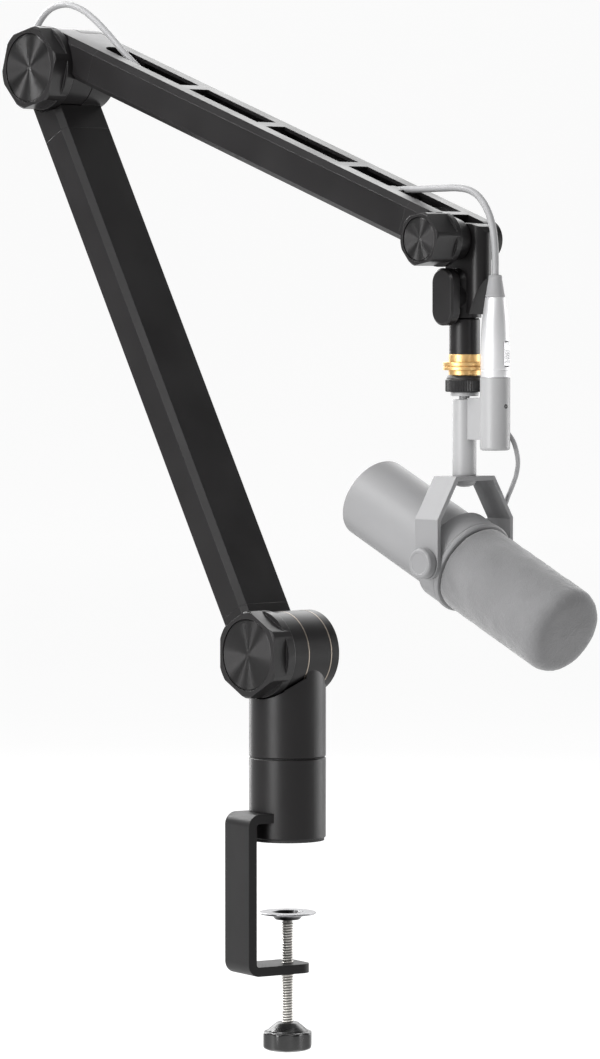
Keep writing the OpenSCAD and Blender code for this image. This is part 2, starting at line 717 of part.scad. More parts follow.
module elbow_knob() color([0.13, 0.13, 0.13]) translate(elbow) big_knob(47);

module wrist_knob() color([0.14, 0.14, 0.14]) on_mount()
    knob_blank(wrist_knob_d / 2, 15.4, knob_back, wrist_knob_front, 4.6, 1.2, wrist_disc_r, 50,
               wrist_bolt_r);

module shoulder_disc() color([0.3, 0.3, 0.3]) translate([0, 0, shoulder_z])
    knob_disc(disc_r, knob_front);

module elbow_disc() color([0.3, 0.3, 0.3]) translate(elbow) knob_disc(disc_r, knob_front);

module wrist_disc() color([0.3, 0.3, 0.3]) on_mount() knob_disc(wrist_disc_r, wrist_knob_front);

// ---- clamp screw and pad -------------------------------------------------------------

knob_top = 119;        // depth of the clamp knob's top below the desk

module clamp_pad() color([0.6, 0.6, 0.6]) rotate_extrude()
    polygon([[3.3, -desk_t - 5], [8, -desk_t - 5], [10.6, -desk_t - 1.6], [18.2, -desk_t - 1.4],
             [18.8, -desk_t - 0.7], [18.2, -desk_t], [9.8, -desk_t], [7.2, -desk_t - 3.5],
             [3.3, -desk_t - 3.5]]);

module clamp_screw() color([0.72, 0.7, 0.66]) {
    rod(screw_d / 2, -knob_top - 12, -desk_t - 6.5);
    rod(3.2, -desk_t - 6.5 - eps, -desk_t - 3);
    translate([0, 0, -desk_t - 3.4]) rotate_extrude()
        polygon([[0, 0], [4.8, 0], [4.2, 1.2], [2, 1.9], [0, 2]]);
}

module clamp_knob() color([0.12, 0.12, 0.12]) difference() {
    union() {
        translate([0, 0, -knob_top - 6]) rotate_extrude()
            polygon([[0, 0], [13.3, 0], [13.3, 0.6], [6.8, 6], [0, 6]]);
        translate([0, 0, -knob_top - 19]) rotate_extrude()
            polygon([[0, -0.4], [9, 0], [14, 1.1], [16.5, 2.6], [16.5, 12], [15.2, 13], [0, 13]]);
    }
    for (a = [0 : 45 : 315]) rotate([0, 0, a]) translate([24.2, 0, 0]) rod(9, -150, -knob_top - 6);
    rod(screw_d / 2, -knob_top - 12, -knob_top + 1);
}

// ---- leads ---------------------------------------------------------------------------

// From the plug's boot, over the wrist, in through a slot and along the upper arm
wrist_route = [
    [188.8, 0, 366], [188.8, 0, 376], [188.2, 0, 386], [186.3, 0, 396], [181.6, 0, 406.5],
    [174.5, 0, 414.5], [166, 0, 418.8], [156, 0, 420.3], [142, 0, 420.4], [127, 0, 420.2],
    [112, 0, 420], [98, 0, 420], [84, 0, 420.6], [70, 0, 422.5], [50, 0, 428.5], [20, 0, 439],
    [-20, 0, 453]
];
// From there out of the first slot, over the elbow and into the lower arm
elbow_route = [
    [-20, 0, 453], [-60, 0, 467], [-90, 0, 478], [-108, 0, 485.5], [-124, 0, 493],
    [-140, 0, 502], [-156, 0, 513], [-172, 0, 526], [-188, 0, 538], [-204, 0, 547],
    [-221, 0, 551], [-238, 0, 547.5], [-250, 0, 537], [-256, 0, 523], [-256, 0, 508],
    [-252, 0, 493], [-247, 0, 479.5], [-241, 0, 467], [-232, 0, 455], [-221, 0, 445],
    [-208, 0, 434], [-195, 0, 423], [-183, 0, 410], [-172, 0, 395]
];
// Down inside the lower arm and out of a slot to the hank on its back
lower_route = [
    [-172, 0, 395], [-161, 0, 380], [-150.5, 0, 360.5], [-142, 0, 344.5], [-134.5, 0.2, 329],
    [-130.5, 0.5, 316], [-129.5, 0.8, 305], [-129, 1, 295], [-127, 1.2, 285.5], [-123, 1.2, 277.5]
];
// From the hank to the end plug
tail_route = [[-97.5, 5, 214], [-93.5, 7, 208.5], [-88.6, 9.2, 203], [-86.6, 10, 200.6]];
// The microphone's own lead, from its connector round the yoke into the body
mic_route = [
    [191, 9, 268], [192.8, 12.5, 262], [191, 18, 251], [184.5, 23.5, 242], [176.5, 28, 234],
    [169, 32, 227.5], [162.5, 35.5, 221.5], [155.5, 36.5, 216], [149.5, 34.5, 212],
    [147, 29.5, 209], [147, 24.2, 207.3]
];
hank_len = 90;         // along the arm
hank_w = 36;           // across the arm
hank_t = 13.5;         // out from the arm's back
hank_end = 118;        // from the shoulder's axis to the hank's lower end
hank_y = 17;
tie_t = 1.2;
tie_w = 14;
plug_y = 10;
plug_out = 36.9;       // from the shoulder's axis out to the stored plug's axis
plug_end = 55;         // from the shoulder's axis to the stored plug's nose
plug_len = 40;
boot_len = 16;

module lead_wrist() color([0.62, 0.62, 0.62]) tube_along(wrist_route, lead_d);

module lead_elbow() color([0.62, 0.62, 0.62]) tube_along(elbow_route, lead_d);

module lead_lower() color([0.62, 0.62, 0.62]) {
    tube_along(lower_route, lead_d);
    tube_along(tail_route, lead_d);
}

module mic_lead() color([0.5, 0.5, 0.5]) tube_along(mic_route, tail_d, 8, [1, 0, 0]);

module lead_hank() color([0.62, 0.62, 0.62]) on_lower_arm()
    translate([-barrel_r - tie_t - 0.2, hank_y, hank_end + hank_len / 2]) rotate([0, -90, 0])
        linear_extrude(hank_t) {
            square([hank_len - hank_w, hank_w], center = true);
            for (s = [-1, 1]) translate([s * (hank_len - hank_w) / 2, 0]) circle(hank_w / 2);
        }

// A hook-and-loop strap through the slot, round a bar and round what it holds: a bundle of
// thickness t that spans from y0 to y1. at is the bar's distance from the elbow.
module tie(at, y0, y1, t) translate([0, 0, lower_len - at]) {
    translate([-barrel_r, 0, -tie_w / 2]) difference() {
        translate([-t - 2 * tie_t - 0.4, y0 - tie_t - 0.1, 0])
            cube([t + 2 * tie_t + 0.4, y1 - y0 + 2 * tie_t + 0.2, tie_w]);
        translate([-t - tie_t - 0.4, y0 - 0.1, -1]) cube([t + 0.4, y1 - y0 + 0.2, tie_w + 2]);
    }
    // the loop round the bar
    difference() {
        translate([-barrel_r - 0.5, -6, -bar_w / 2 - tie_t - 0.3])
            cube([arm_wall + 0.7 + tie_t, 12, bar_w + 2 * tie_t + 0.6]);
        translate([-barrel_r, -7, -bar_w / 2 - 0.2]) cube([arm_wall + 0.1, 14, bar_w + 0.4]);
    }
}

module hank_tie() color([0.12, 0.12, 0.12]) on_lower_arm() {
    tie(slot_bars[2], hank_y - hank_w / 2, hank_y + hank_w / 2, hank_t);
    tie(slot_bars[3], plug_y - 7.2, plug_y + 7.2, plug_out - barrel_r - tie_t + 5.6);
}

module end_plug() color([0.8, 0.8, 0.8]) on_lower_arm() translate([-plug_out, plug_y, 0]) {
    rod(9.4, plug_end, plug_end + plug_len);
    translate([0, 0, plug_end + plug_len]) rotate_extrude()
        polygon([[0, 0], [7, 0], [3.4, boot_len], [0, boot_len]]);
}

base_body();
foot_pad();
clamp_bracket();
bracket_screws();
pan_bush();
turret_body();
pan_spindle();
pan_nut();
shoulder_washers();
lower_arm_tube();
lower_arm_foot();
lower_arm_head();
shoulder_bolt();
elbow_bolt();
elbow_washer();
upper_arm_tube();
upper_arm_heel();
upper_arm_fork();
wrist_bolt();
wrist_head();
wrist_washers();
mount_tube();
brass_adapter();
knurled_nut();
mic_stem();
mic_yoke();
yoke_bolt();
xlr_barrel();
xlr_pins();
plug_shell();
plug_boot();
plug_latch();
mic_body();
mic_rear_cover();
mic_band();
windscreen();
grille_cage();
capsule();
capsule_mount();
circuit_board();
pivot_studs();
side_knob_near();
side_knob_far();
shoulder_knob();
shoulder_disc();
elbow_knob();
elbow_disc();
wrist_knob();
wrist_disc();
oval_knob();
clamp_pad();
clamp_screw();
clamp_knob();
lead_wrist();
lead_elbow();
lead_lower();
lead_hank();
hank_tie();
end_plug();
mic_lead();
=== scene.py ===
"""Looks of an end-address condenser microphone hung from a desk-clamp boom arm.

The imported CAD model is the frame. Each CAD piece gets its finish here, and the pieces that CAD
leaves plain are built in its place: the screw's thread, the knurled nut, the foam windscreen, the
plugs, and the leads with their stored hank. Shapes are given in millimetres in a local frame, such
as along an arm, and placed in the whole model's frame, which is in metres.
"""

import json
import math

import bmesh
import bpy
from mathutils import Matrix, Vector, noise


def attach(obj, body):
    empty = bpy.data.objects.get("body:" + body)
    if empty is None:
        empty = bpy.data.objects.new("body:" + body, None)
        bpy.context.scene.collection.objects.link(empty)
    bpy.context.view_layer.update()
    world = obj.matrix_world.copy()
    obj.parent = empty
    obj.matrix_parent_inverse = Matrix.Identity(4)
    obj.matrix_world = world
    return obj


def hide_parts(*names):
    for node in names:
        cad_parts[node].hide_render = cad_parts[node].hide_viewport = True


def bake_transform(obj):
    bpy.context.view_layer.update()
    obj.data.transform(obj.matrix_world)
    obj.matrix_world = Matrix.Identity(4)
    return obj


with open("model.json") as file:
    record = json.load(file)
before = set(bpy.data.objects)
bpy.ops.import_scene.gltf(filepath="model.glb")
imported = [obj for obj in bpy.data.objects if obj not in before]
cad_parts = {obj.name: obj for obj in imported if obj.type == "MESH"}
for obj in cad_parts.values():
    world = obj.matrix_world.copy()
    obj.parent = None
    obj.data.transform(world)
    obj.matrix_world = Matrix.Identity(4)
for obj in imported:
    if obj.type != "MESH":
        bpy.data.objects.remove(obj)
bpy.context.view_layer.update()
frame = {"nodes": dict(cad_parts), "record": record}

# ---- frames and sizes, as in the CAD ----------------------------------------------------------

MM = 0.001
LOWER_LEAN = math.radians(29.4)
MIC_DIP = math.radians(25)

SHOULDER = Vector((0, 0, 0.122))
ELBOW = Vector((-0.21698, 0, 0.50708))
WRIST = Vector((0.162, 0, 0.388))
PIVOT = Vector((0.162, 0, 0.187))
PIVOT_AT = 0.089  # from the microphone's rear to its pivot
XLR_OUT = 0.0268  # from the stem's axis out to the connector's axis


def turned_y(place, angle):
    """A frame at place, turned about the Y axis."""
    return Matrix.Translation(place) @ Matrix.Rotation(angle, 4, "Y")


BASE = Matrix.Identity(4)
LOWER = turned_y(SHOULDER, -LOWER_LEAN)
MOUNT = Matrix.Translation(WRIST)
MIC = turned_y(PIVOT, MIC_DIP)
MIC_REAR = MIC @ turned_y((-PIVOT_AT, 0, 0), math.pi / 2)
XLR = MOUNT @ Matrix.Translation((XLR_OUT, 0, 0))

# ---- camera -----------------------------------------------------------------------------------

camera = bpy.data.objects.new("camera", bpy.data.cameras.new("camera"))
camera.data.lens = 171.67
camera.data.sensor_width = 36
camera.data.clip_end = 60
camera.location = (2.3915, -2.2346, 0.3448)
camera.rotation_euler = (math.radians(87.5), 0, math.radians(46.8))
bpy.context.scene.collection.objects.link(camera)
bpy.context.scene.camera = camera

# ---- materials --------------------------------------------------------------------------------

NOISE_LOW, NOISE_HIGH = 0.3, 0.7  # the range that a noise texture's values mostly keep to


class Shader:
    """A material's node tree, with short names for adding and joining nodes."""

    def __init__(self, name):
        self.material = bpy.data.materials.new(name)
        self.material.use_nodes = True
        self.nodes = self.material.node_tree.nodes
        self.links = self.material.node_tree.links
        self.main = self.nodes["Principled BSDF"]
        self.place = self.add("ShaderNodeTexCoord").outputs["Object"]

    def add(self, kind, **values):
        """A node of that kind. values name its properties, or inputs, which take sockets too."""
        node = self.nodes.new(kind)
        for key, value in values.items():
            if hasattr(node, key) and not key[0].isupper():
                setattr(node, key, value)
            else:
                self.put(node.inputs[key.replace("_", " ")], value)
        return node

    def put(self, socket, value):
        if isinstance(value, bpy.types.NodeSocket):
            self.links.new(value, socket)
        else:
            socket.default_value = value

    def math(self, operation, a, b=0.0):
        node = self.add("ShaderNodeMath", operation=operation)
        self.put(node.inputs[0], a)
        self.put(node.inputs[1], b)
        return node.outputs[0]

    def vector(self, operation, a, b=(0, 0, 0)):
        node = self.add("ShaderNodeVectorMath", operation=operation)
        self.put(node.inputs[0], a)
        self.put(node.inputs[1], b)
        return node.outputs["Value" if operation == "LENGTH" else 0]

    def noise(self, scale, detail=2.0, place=None, **values):
        node = self.add("ShaderNodeTexNoise", Scale=scale, Detail=detail, **values)
        self.put(node.inputs["Vector"], place or self.place)
        return node.outputs["Fac"]

    def between(self, factor, low, high):
        """A noise factor moved to run from low to high."""
        node = self.add("ShaderNodeMapRange", Value=factor, To_Min=low, To_Max=high)
        node.inputs["From Min"].default_value = NOISE_LOW
        node.inputs["From Max"].default_value = NOISE_HIGH
        return node.outputs[0]

    def shades(self, factor, color, spread):
        """color made darker and lighter by spread as factor changes."""
        ramp = self.add("ShaderNodeValToRGB", Fac=factor)
        stops = ramp.color_ramp.elements
        for stop, where, gain in zip(stops, (NOISE_LOW, NOISE_HIGH), (1 - spread, 1 + spread)):
            stop.position = where
            stop.color = (*[min(1.0, c * gain) for c in color], 1)
        return ramp.outputs["Color"]

    def bump(self, height, distance, strength=1.0, normal=None):
        node = self.add("ShaderNodeBump", Height=height, Distance=distance, Strength=strength)
        if normal is not None:
            self.put(node.inputs["Normal"], normal)
        return node.outputs["Normal"]

    def set(self, **values):
        for key, value in values.items():
            self.put(self.main.inputs[key.replace("_", " ")], value)
        return self.material


def coated(name, color, rough, metal=0.0, spread=0.08, grain=0.00035, depth=0.00002, edge=0.0005,
           uneven=0.05, coat=0.0, specular=0.5):
    """A smooth metal or plastic surface with a fine even grain and slightly rounded edges."""
    s = Shader(name)
    clouds = s.noise(28, 4)
    grains = s.noise(1 / grain, 3)
    soft = s.add("ShaderNodeBevel", samples=6, Radius=edge).outputs["Normal"]
    normal = s.bump(grains, depth, 1.0, soft)
    blend = s.math("ADD", s.math("MULTIPLY", clouds, 0.7), s.math("MULTIPLY", grains, 0.3))
    return s.set(
        Base_Color=s.shades(blend, color, spread),
        Roughness=s.between(clouds, rough - uneven, rough + uneven),
        Metallic=metal, Coat_Weight=coat, Coat_Roughness=0.2, Specular_IOR_Level=specular,
        Normal=normal,
    )


def turned(name, color, rough, centre, axis, shine=0.8, pitch=0.00022, depth=0.00001):
    """A lathe-turned metal surface: fine grooves in circles about axis through centre."""
    s = Shader(name)
    flat = Vector((1, 1, 1)) - Vector([abs(a) for a in axis])
    arm = s.vector("MULTIPLY", s.vector("SUBTRACT", s.place, centre), tuple(flat))
    along = s.vector("DOT_PRODUCT", s.place, axis)
    radius = s.vector("LENGTH", arm)
    both = s.math("ADD", radius, s.math("MULTIPLY", along, 1.7))
    line = s.add("ShaderNodeTexNoise", noise_dimensions="1D", Scale=1 / pitch, Detail=2.0)
    s.put(line.inputs["W"], both)
    grooves = line.outputs["Fac"]
    across = s.vector("NORMALIZE", arm)
    return s.set(
        Base_Color=s.shades(grooves, color, 0.1),
        Roughness=s.between(grooves, rough - 0.05, rough + 0.07),
        Metallic=1.0, Anisotropic=shine, Tangent=across, Normal=s.bump(grooves, depth),
    )


def jacket(name, color, rough):
    """The matt moulded skin of a cable or a boot."""
    s = Shader(name)
    clouds, grains = s.noise(45, 3), s.noise(1 / 0.0006, 2)
    return s.set(
        Base_Color=s.shades(clouds, color, 0.06),
        Roughness=s.between(clouds, rough - 0.05, rough + 0.08),
        Normal=s.bump(grains, 0.00004), Sheen_Weight=0.15, Sheen_Roughness=0.4,
    )


def foam(name, color):
    """Fine open-cell foam."""
    s = Shader(name)
    cells = s.add("ShaderNodeTexVoronoi", Scale=1100.0)
    s.put(cells.inputs["Vector"], s.place)
    pores = cells.outputs["Distance"]
    fine, clouds = s.noise(2600, 3), s.noise(40, 3)
    height = s.math("ADD", pores, s.math("MULTIPLY", fine, 0.5))
    blend = s.math("ADD", s.math("MULTIPLY", clouds, 0.6), s.math("MULTIPLY", fine, 0.4))
    return s.set(
        Base_Color=s.shades(blend, color, 0.12), Roughness=s.between(fine, 0.8, 0.95),
        Normal=s.bump(height, 0.0003, 0.55), Sheen_Weight=0.35, Sheen_Roughness=0.5,
        Specular_IOR_Level=0.2,
    )


def woven(name, color):
    """Hook-and-loop tape: a felt of tiny loops."""
    s = Shader(name)
    loops = s.add("ShaderNodeTexVoronoi", Scale=1500.0)
    s.put(loops.inputs["Vector"], s.place)
    fine = s.noise(3000, 4)
    height = s.math("ADD", loops.outputs["Distance"], fine)
    return s.set(
        Base_Color=s.shades(fine, color, 0.35), Roughness=0.9, Sheen_Weight=0.5,
        Normal=s.bump(height, 0.0003, 0.7),
    )


def metal_with_painted_shade(name, inner, outer, dark, bright, rough, metal):
    """Plated steel about the Z axis, dark with painted shade inside a radius and bright outside it.
    """
    s = Shader(name)
    flat = s.vector("MULTIPLY", s.place, (1, 1, 0))
    # painted shade: the ramp below is dark inside radius inner and bright by outer, with clouds
    # making its edge patchy
    out = s.add("ShaderNodeMapRange", Value=s.vector("LENGTH", flat))
    out.inputs["From Min"].default_value = inner * MM
    out.inputs["From Max"].default_value = outer * MM
    clouds, grains = s.noise(60, 3), s.noise(2500, 2)
    patchy = s.math("ADD", out.outputs[0], s.math("MULTIPLY", clouds, 0.1))
    painted_shade_ramp = s.add("ShaderNodeValToRGB", Fac=patchy)
    low, high = painted_shade_ramp.color_ramp.elements
    low.color, high.color = (*dark, 1), (*bright, 1)
    return s.set(Base_Color=painted_shade_ramp.outputs["Color"], Metallic=metal, Normal=s.bump(grains, 0.00001),
                 Roughness=s.between(clouds, rough - 0.05, rough + 0.05))


MATERIALS = {
    "anodised_black": coated("anodised_black", (0.0080, 0.0073, 0.0077), 0.37, specular=0.27),
    "knob_black": coated("knob_black", (0.0085, 0.0078, 0.0082), 0.34, edge=0.0004, specular=0.36),
    "foot_rubber": jacket("foot_rubber", (0.02, 0.02, 0.02), 0.8),
    "strap_black": coated("strap_black", (0.0070, 0.0067, 0.0070), 0.44, grain=0.0005,
                          depth=0.00003, edge=0.0008, specular=0.22),
    "dark_screws": coated("dark_screws", (0.05, 0.05, 0.05), 0.38, metal=0.8),
    "bush_bronze": coated("bush_bronze", (0.02, 0.02, 0.02), 0.5),
    # the screw's thread: painted shade in its roots, inside 3.1 mm radius, fading out by 3.8 mm
    "bright_steel": metal_with_painted_shade("bright_steel", 3.1, 3.8, (0.07, 0.065, 0.06), (0.80, 0.78, 0.74), 0.34,
                            0.55),
    "washer_silver": coated("washer_silver", (0.30, 0.26, 0.22), 0.36, metal=1.0, edge=0.0001),
    "washer_nylon": coated("washer_nylon", (0.02, 0.02, 0.02), 0.6, edge=0.0001),
    "adapter_brass": coated("adapter_brass", (0.70, 0.46, 0.20), 0.42, metal=1.0, spread=0.04,
                            grain=0.0002, depth=0.000002, edge=0.0002, uneven=0.03),
    "nut_black": coated("nut_black", (0.012, 0.0115, 0.012), 0.42, edge=0.0002, specular=0.4),
    "stem_grey": coated("stem_grey", (0.30, 0.30, 0.304), 0.42, spread=0.05, edge=0.0004),
    "yoke_grey": coated("yoke_grey", (0.20, 0.20, 0.204), 0.46, spread=0.05, edge=0.0004),
    "pins_silver": coated("pins_silver", (0.62, 0.60, 0.57), 0.25, metal=1.0, edge=0.0001),
    "shell_nickel": coated("shell_nickel", (0.64, 0.64, 0.65), 0.42, metal=0.6, spread=0.03,
                           edge=0.0003),
    "boot_rubber": jacket("boot_rubber", (0.25, 0.25, 0.255), 0.6),
    "mic_grey": coated("mic_grey", (0.215, 0.215, 0.219), 0.50, spread=0.05, edge=0.0004),
    "foam_grey": foam("foam_grey", (0.162, 0.162, 0.165)),
    "cage_dark": coated("cage_dark", (0.05, 0.05, 0.05), 0.4, metal=0.5, edge=0.0002),
    "capsule_gold": turned("capsule_gold", (0.7, 0.5, 0.2), 0.3, (0, 0, 0), (1, 0, 0)),
    "mount_rubber": jacket("mount_rubber", (0.02, 0.02, 0.02), 0.7),
    "board_green": coated("board_green", (0.01, 0.09, 0.03), 0.3, spread=0.3, coat=0.4),
    "stud_steel": coated("stud_steel", (0.4, 0.4, 0.4), 0.35, metal=1.0, edge=0.0002),
    # the clamp pad: painted shade in its hollow, inside 9.2 mm radius, fading out by 10.6 mm
    "pad_satin": metal_with_painted_shade("pad_satin", 9.2, 10.6, (0.012, 0.012, 0.012), (0.30, 0.30, 0.31), 0.32,
                         0.9),
    "knob_plastic": coated("knob_plastic", (0.008, 0.008, 0.008), 0.28, coat=0.3, edge=0.0006),
    "lead_grey": jacket("lead_grey", (0.27, 0.27, 0.275), 0.48),
    "tie_black": woven("tie_black", (0.015, 0.015, 0.016)),
}
for knob, centre in (("shoulder_disc", SHOULDER), ("elbow_disc", ELBOW), ("wrist_disc", WRIST)):
    MATERIALS[knob] = turned(knob, (0.050, 0.049, 0.0495), 0.41, centre, (0, 1, 0), shine=0.98)

for entry in frame["record"]["subparts"]:
    finish = entry["node"] if entry["node"] in MATERIALS else entry["material_slot"]
    skin = frame["nodes"][entry["node"]].data.materials
    skin.clear()
    skin.append(MATERIALS[finish])

# ---- building pieces --------------------------------------------------------------------------


def build(name, parts, where, slot, body, *nodes, sharp=32, finish=None):
    """A piece from (vertices, faces) parts in millimetres. It rides on body and replaces nodes.
    sharp is the angle in degrees over which an edge stays crisp. finish is another material."""
    points, faces = [], []
    for more, sides in parts:
        faces += [[i + len(points) for i in side] for side in sides]
        points += more
    mesh = bpy.data.meshes.new(name)
    mesh.from_pydata(points, [], faces)
    mesh.transform(where @ Matrix.Scale(MM, 4))
    work = bmesh.new()
    work.from_mesh(mesh)
    bmesh.ops.recalc_face_normals(work, faces=work.faces)
    work.to_mesh(mesh)
    work.free()
    mesh.shade_smooth()
    mesh.set_sharp_from_angle(angle=math.radians(sharp))
    mesh.materials.append(MATERIALS[finish or slot])
    piece = bpy.data.objects.new(name, mesh)
    bpy.context.scene.collection.objects.link(piece)
    if nodes:
        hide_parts(*nodes)
    if body:
        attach(piece, body)
    return piece


def eased(profile, radius, steps=4, ends=True):
    """The profile with its corners rounded. radius is one number, or one per point. The first
    and last points are kept if ends is true."""
    sizes = radius if isinstance(radius, (list, tuple)) else [radius] * len(profile)
    out = []
    for i, here in enumerate(profile):
        here = Vector(here)
        if sizes[i] <= 0 or i in (0, len(profile) - 1) and ends:
            out.append(tuple(here))
            continue
        before = Vector(profile[i - 1]) - here
        after = Vector(profile[(i + 1) % len(profile)]) - here
        reach = min(sizes[i], before.length * 0.45, after.length * 0.45)
        start, end = here + before.normalized() * reach, here + after.normalized() * reach
        for k in range(steps + 1):
            t = k / steps
            out.append(tuple(start * (1 - t) ** 2 + here * 2 * t * (1 - t) + end * t ** 2))
    return out


def lathe(profile, steps=96, closed=False, twist=None):
    """A profile of (radius, height) turned about Z. twist(angle, radius, height) gives another
    radius there."""
    points, rings = [], []
    for r, z in profile:
        if r < 1e-6:
            rings.append([len(points)] * steps)
            points.append((0, 0, z))
            continue
        rings.append(list(range(len(points), len(points) + steps)))
        for k in range(steps):
            a = 2 * math.pi * k / steps
            size = twist(a, r, z) if twist else r
            points.append((size * math.cos(a), size * math.sin(a), z))
    faces = []
    for low, high in zip(rings, rings[1:] + rings[:1] if closed else rings[1:]):
        for k in range(steps):
            j = (k + 1) % steps
            side = list(dict.fromkeys((low[k], low[j], high[j], high[k])))
            if len(side) > 2:
                faces.append(side)
    return points, faces


def softened(node, slot, body, radius, finish=None):
    """The CAD piece again, with its edges really rounded, in the CAD piece's place."""
    work = bmesh.new()
    work.from_mesh(frame["nodes"][node].data)
    bmesh.ops.remove_doubles(work, verts=work.verts, dist=0.000002)
    bmesh.ops.dissolve_limit(work, angle_limit=math.radians(1.2), verts=work.verts,
                             edges=work.edges)
    crisp = [e for e in work.edges
             if len(e.link_faces) == 2 and e.calc_face_angle(0) > math.radians(28)]
    bmesh.ops.bevel(work, geom=crisp, offset=radius * MM, segments=3, profile=0.5,
                    affect="EDGES", clamp_overlap=True)
    bmesh.ops.triangulate(work, faces=[f for f in work.faces if len(f.verts) > 4])
    mesh = bpy.data.meshes.new(node + "_rounded")
    work.to_mesh(mesh)
    work.free()
    mesh.shade_smooth()
    mesh.set_sharp_from_angle(angle=math.radians(38))
    mesh.materials.append(MATERIALS[finish or slot])
    piece = bpy.data.objects.new(node + "_rounded", mesh)
    bpy.context.scene.collection.objects.link(piece)
    even = piece.modifiers.new("even_normals", "WEIGHTED_NORMAL")
    even.keep_sharp = True
    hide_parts(node)
    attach(piece, body)
    return piece


def loop_strap(loop, width, thick, place):
    """A flat strap bent round a closed loop of (across, out) points, centred on place's X."""
    line = [Vector(p) for p in eased(loop, 2.6, ends=False)]
    points, faces = [], []
    for i, here in enumerate(line):
        ahead = (line[(i + 1) % len(line)] - line[i - 1]).normalized()
        outward = Vector((ahead.y, -ahead.x)) * (thick / 2)
        for side, half in ((1, -1), (1, 1), (-1, 1), (-1, -1)):
            edge = here + outward * side
            points.append(tuple(place @ Vector((half * width / 2, edge.x, edge.y))))
    for i in range(len(line)):
        j = (i + 1) % len(line)
        faces += [(4 * i + k, 4 * i + (k + 1) % 4, 4 * j + (k + 1) % 4, 4 * j + k)
                  for k in range(4)]
    return points, faces


def block(x0, x1, y0, y1, z0, z1):
    """A box between two values on each axis."""
    points = [(x, y, z) for x in (x0, x1) for y in (y0, y1) for z in (z0, z1)]
    sides = [(0, 1, 3, 2), (4, 6, 7, 5), (0, 4, 5, 1), (2, 3, 7, 6), (0, 2, 6, 4), (1, 5, 7, 3)]
    return points, sides


def moved(part, matrix):
    return [tuple(matrix @ Vector(p)) for p in part[0]], part[1]


def cut(piece, part, where):
    """Cuts a (vertices, faces) part, in millimetres at where, out of the piece."""
    mesh = bpy.data.meshes.new("cutter")
    mesh.from_pydata(part[0], [], part[1])
    mesh.transform(where @ Matrix.Scale(MM, 4))
    tool = bpy.data.objects.new("cutter", mesh)
    bpy.context.scene.collection.objects.link(tool)
    boolean = piece.modifiers.new("cut", "BOOLEAN")
    boolean.operation, boolean.object, boolean.solver = "DIFFERENCE", tool, "EXACT"
    bpy.context.view_layer.update()
    solved = piece.evaluated_get(bpy.context.evaluated_depsgraph_get())
    result = bpy.data.meshes.new_from_object(solved)
    piece.modifiers.remove(boolean)
    piece.data = result
    bpy.data.objects.remove(tool)


def stacked(*rings):
    """A profile from rows of (radius, low, high), each with slightly rounded edges."""
    points = []
    for r, low, high in rings:
        points += [(r - 0.2, low), (r, low + 0.2), (r, high - 0.2), (r - 0.2, high)]
    return points


def rows(profile, step):
    """The profile with its long straight stretches split up into steps."""
    out = [profile[0]]
    for (r0, z0), (r1, z1) in zip(profile, profile[1:]):
        count = max(1, int(math.hypot(r1 - r0, z1 - z0) / step))
        out += [(r0 + (r1 - r0) * k / count, z0 + (z1 - z0) * k / count)
                for k in range(1, count + 1)]
    return out


CURVE_STEPS = 12  # between two points of a route


def smooth_route(points, spacing):
    """Points on a curve through the given ones, spacing apart along it."""
    route = [Vector(p) for p in points]
    ends = [route[0] * 2 - route[1], *route, route[-1] * 2 - route[-2]]
    fine = []
    for a, b, c, d in zip(ends, ends[1:], ends[2:], ends[3:]):
        knots = [0.0]
        for p, q in ((a, b), (b, c), (c, d)):
            knots.append(knots[-1] + max((q - p).length, 1e-9) ** 0.5)
        for k in range(CURVE_STEPS):
            t = knots[1] + (knots[2] - knots[1]) * k / CURVE_STEPS

            def mix(p, q, i, j):
                return p * ((knots[j] - t) / (knots[j] - knots[i])) + q * (
                    (t - knots[i]) / (knots[j] - knots[i]))

            ab, bc, cd = mix(a, b, 0, 1), mix(b, c, 1, 2), mix(c, d, 2, 3)
            fine.append(mix(mix(ab, bc, 0, 2), mix(bc, cd, 1, 3), 1, 2))
    fine.append(route[-1])
    out, left = [fine[0]], spacing
    for a, b in zip(fine, fine[1:]):
        step = (b - a).length
        while left <= step:
            out.append(a.lerp(b, left / step))
            left += spacing
        left -= step
    if (out[-1] - fine[-1]).length < spacing * 0.5 and len(out) > 2:
        out.pop()
    out.append(fine[-1])
    return out


def tube(route, radius, before=None, after=None, sides=14):
    """A round tube along route, with a flat cap at each end. before and after are the route's
    next points past its ends, where it goes on in another piece."""
    line = [before or route[0] * 2 - route[1], *route, after or route[-1] * 2 - route[-2]]
    points, faces = [], []
    side = Vector((0, 1, 0))
    for i, here in enumerate(route):
        ahead = (line[i + 2] - line[i]).normalized()
        side = (side - ahead * side.dot(ahead)).normalized()
        other = ahead.cross(side)
        for k in range(sides):
            a = 2 * math.pi * k / sides
            spoke = side * (radius * math.cos(a)) + other * (radius * math.sin(a))
            points.append(tuple(here + spoke))
    for i in range(len(route) - 1):
        for k in range(sides):
            j = (k + 1) % sides
            low, high = i * sides, (i + 1) * sides
            faces.append((low + k, low + j, high + j, high + k))
    faces.append(tuple(range(sides)))
    faces.append(tuple(range((len(route) - 1) * sides, len(route) * sides)))
    return points, faces


def nearest(line, point):
    return min(range(len(line)), key=lambda i: (line[i] - Vector(point)).length)


def cable(name, line, start, end, diameter, body, ends, pieces=(), nodes=(), **facts):
    """The stretch of a lead's line between two points, in millimetres in the model's frame. It
    rides on body; where ends is given, as (body, body, start, end), it rides on no body and is
    baked in place."""
    first, last = nearest(line, start), nearest(line, end)
    route = line[first:last + 1]
    before = line[first - 1] if first else None
    after = line[last + 1] if last + 1 < len(line) else None
    skin = tube(route, diameter / 2, before, after)
    piece = build(name, [skin], BASE, "lead_grey", body, *nodes, sharp=60)
    if ends:
        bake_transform(piece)
    return piece


# ---- leads ------------------------------------------------------------------------------------

LEAD_D, TAIL_D = 4.5, 3.0
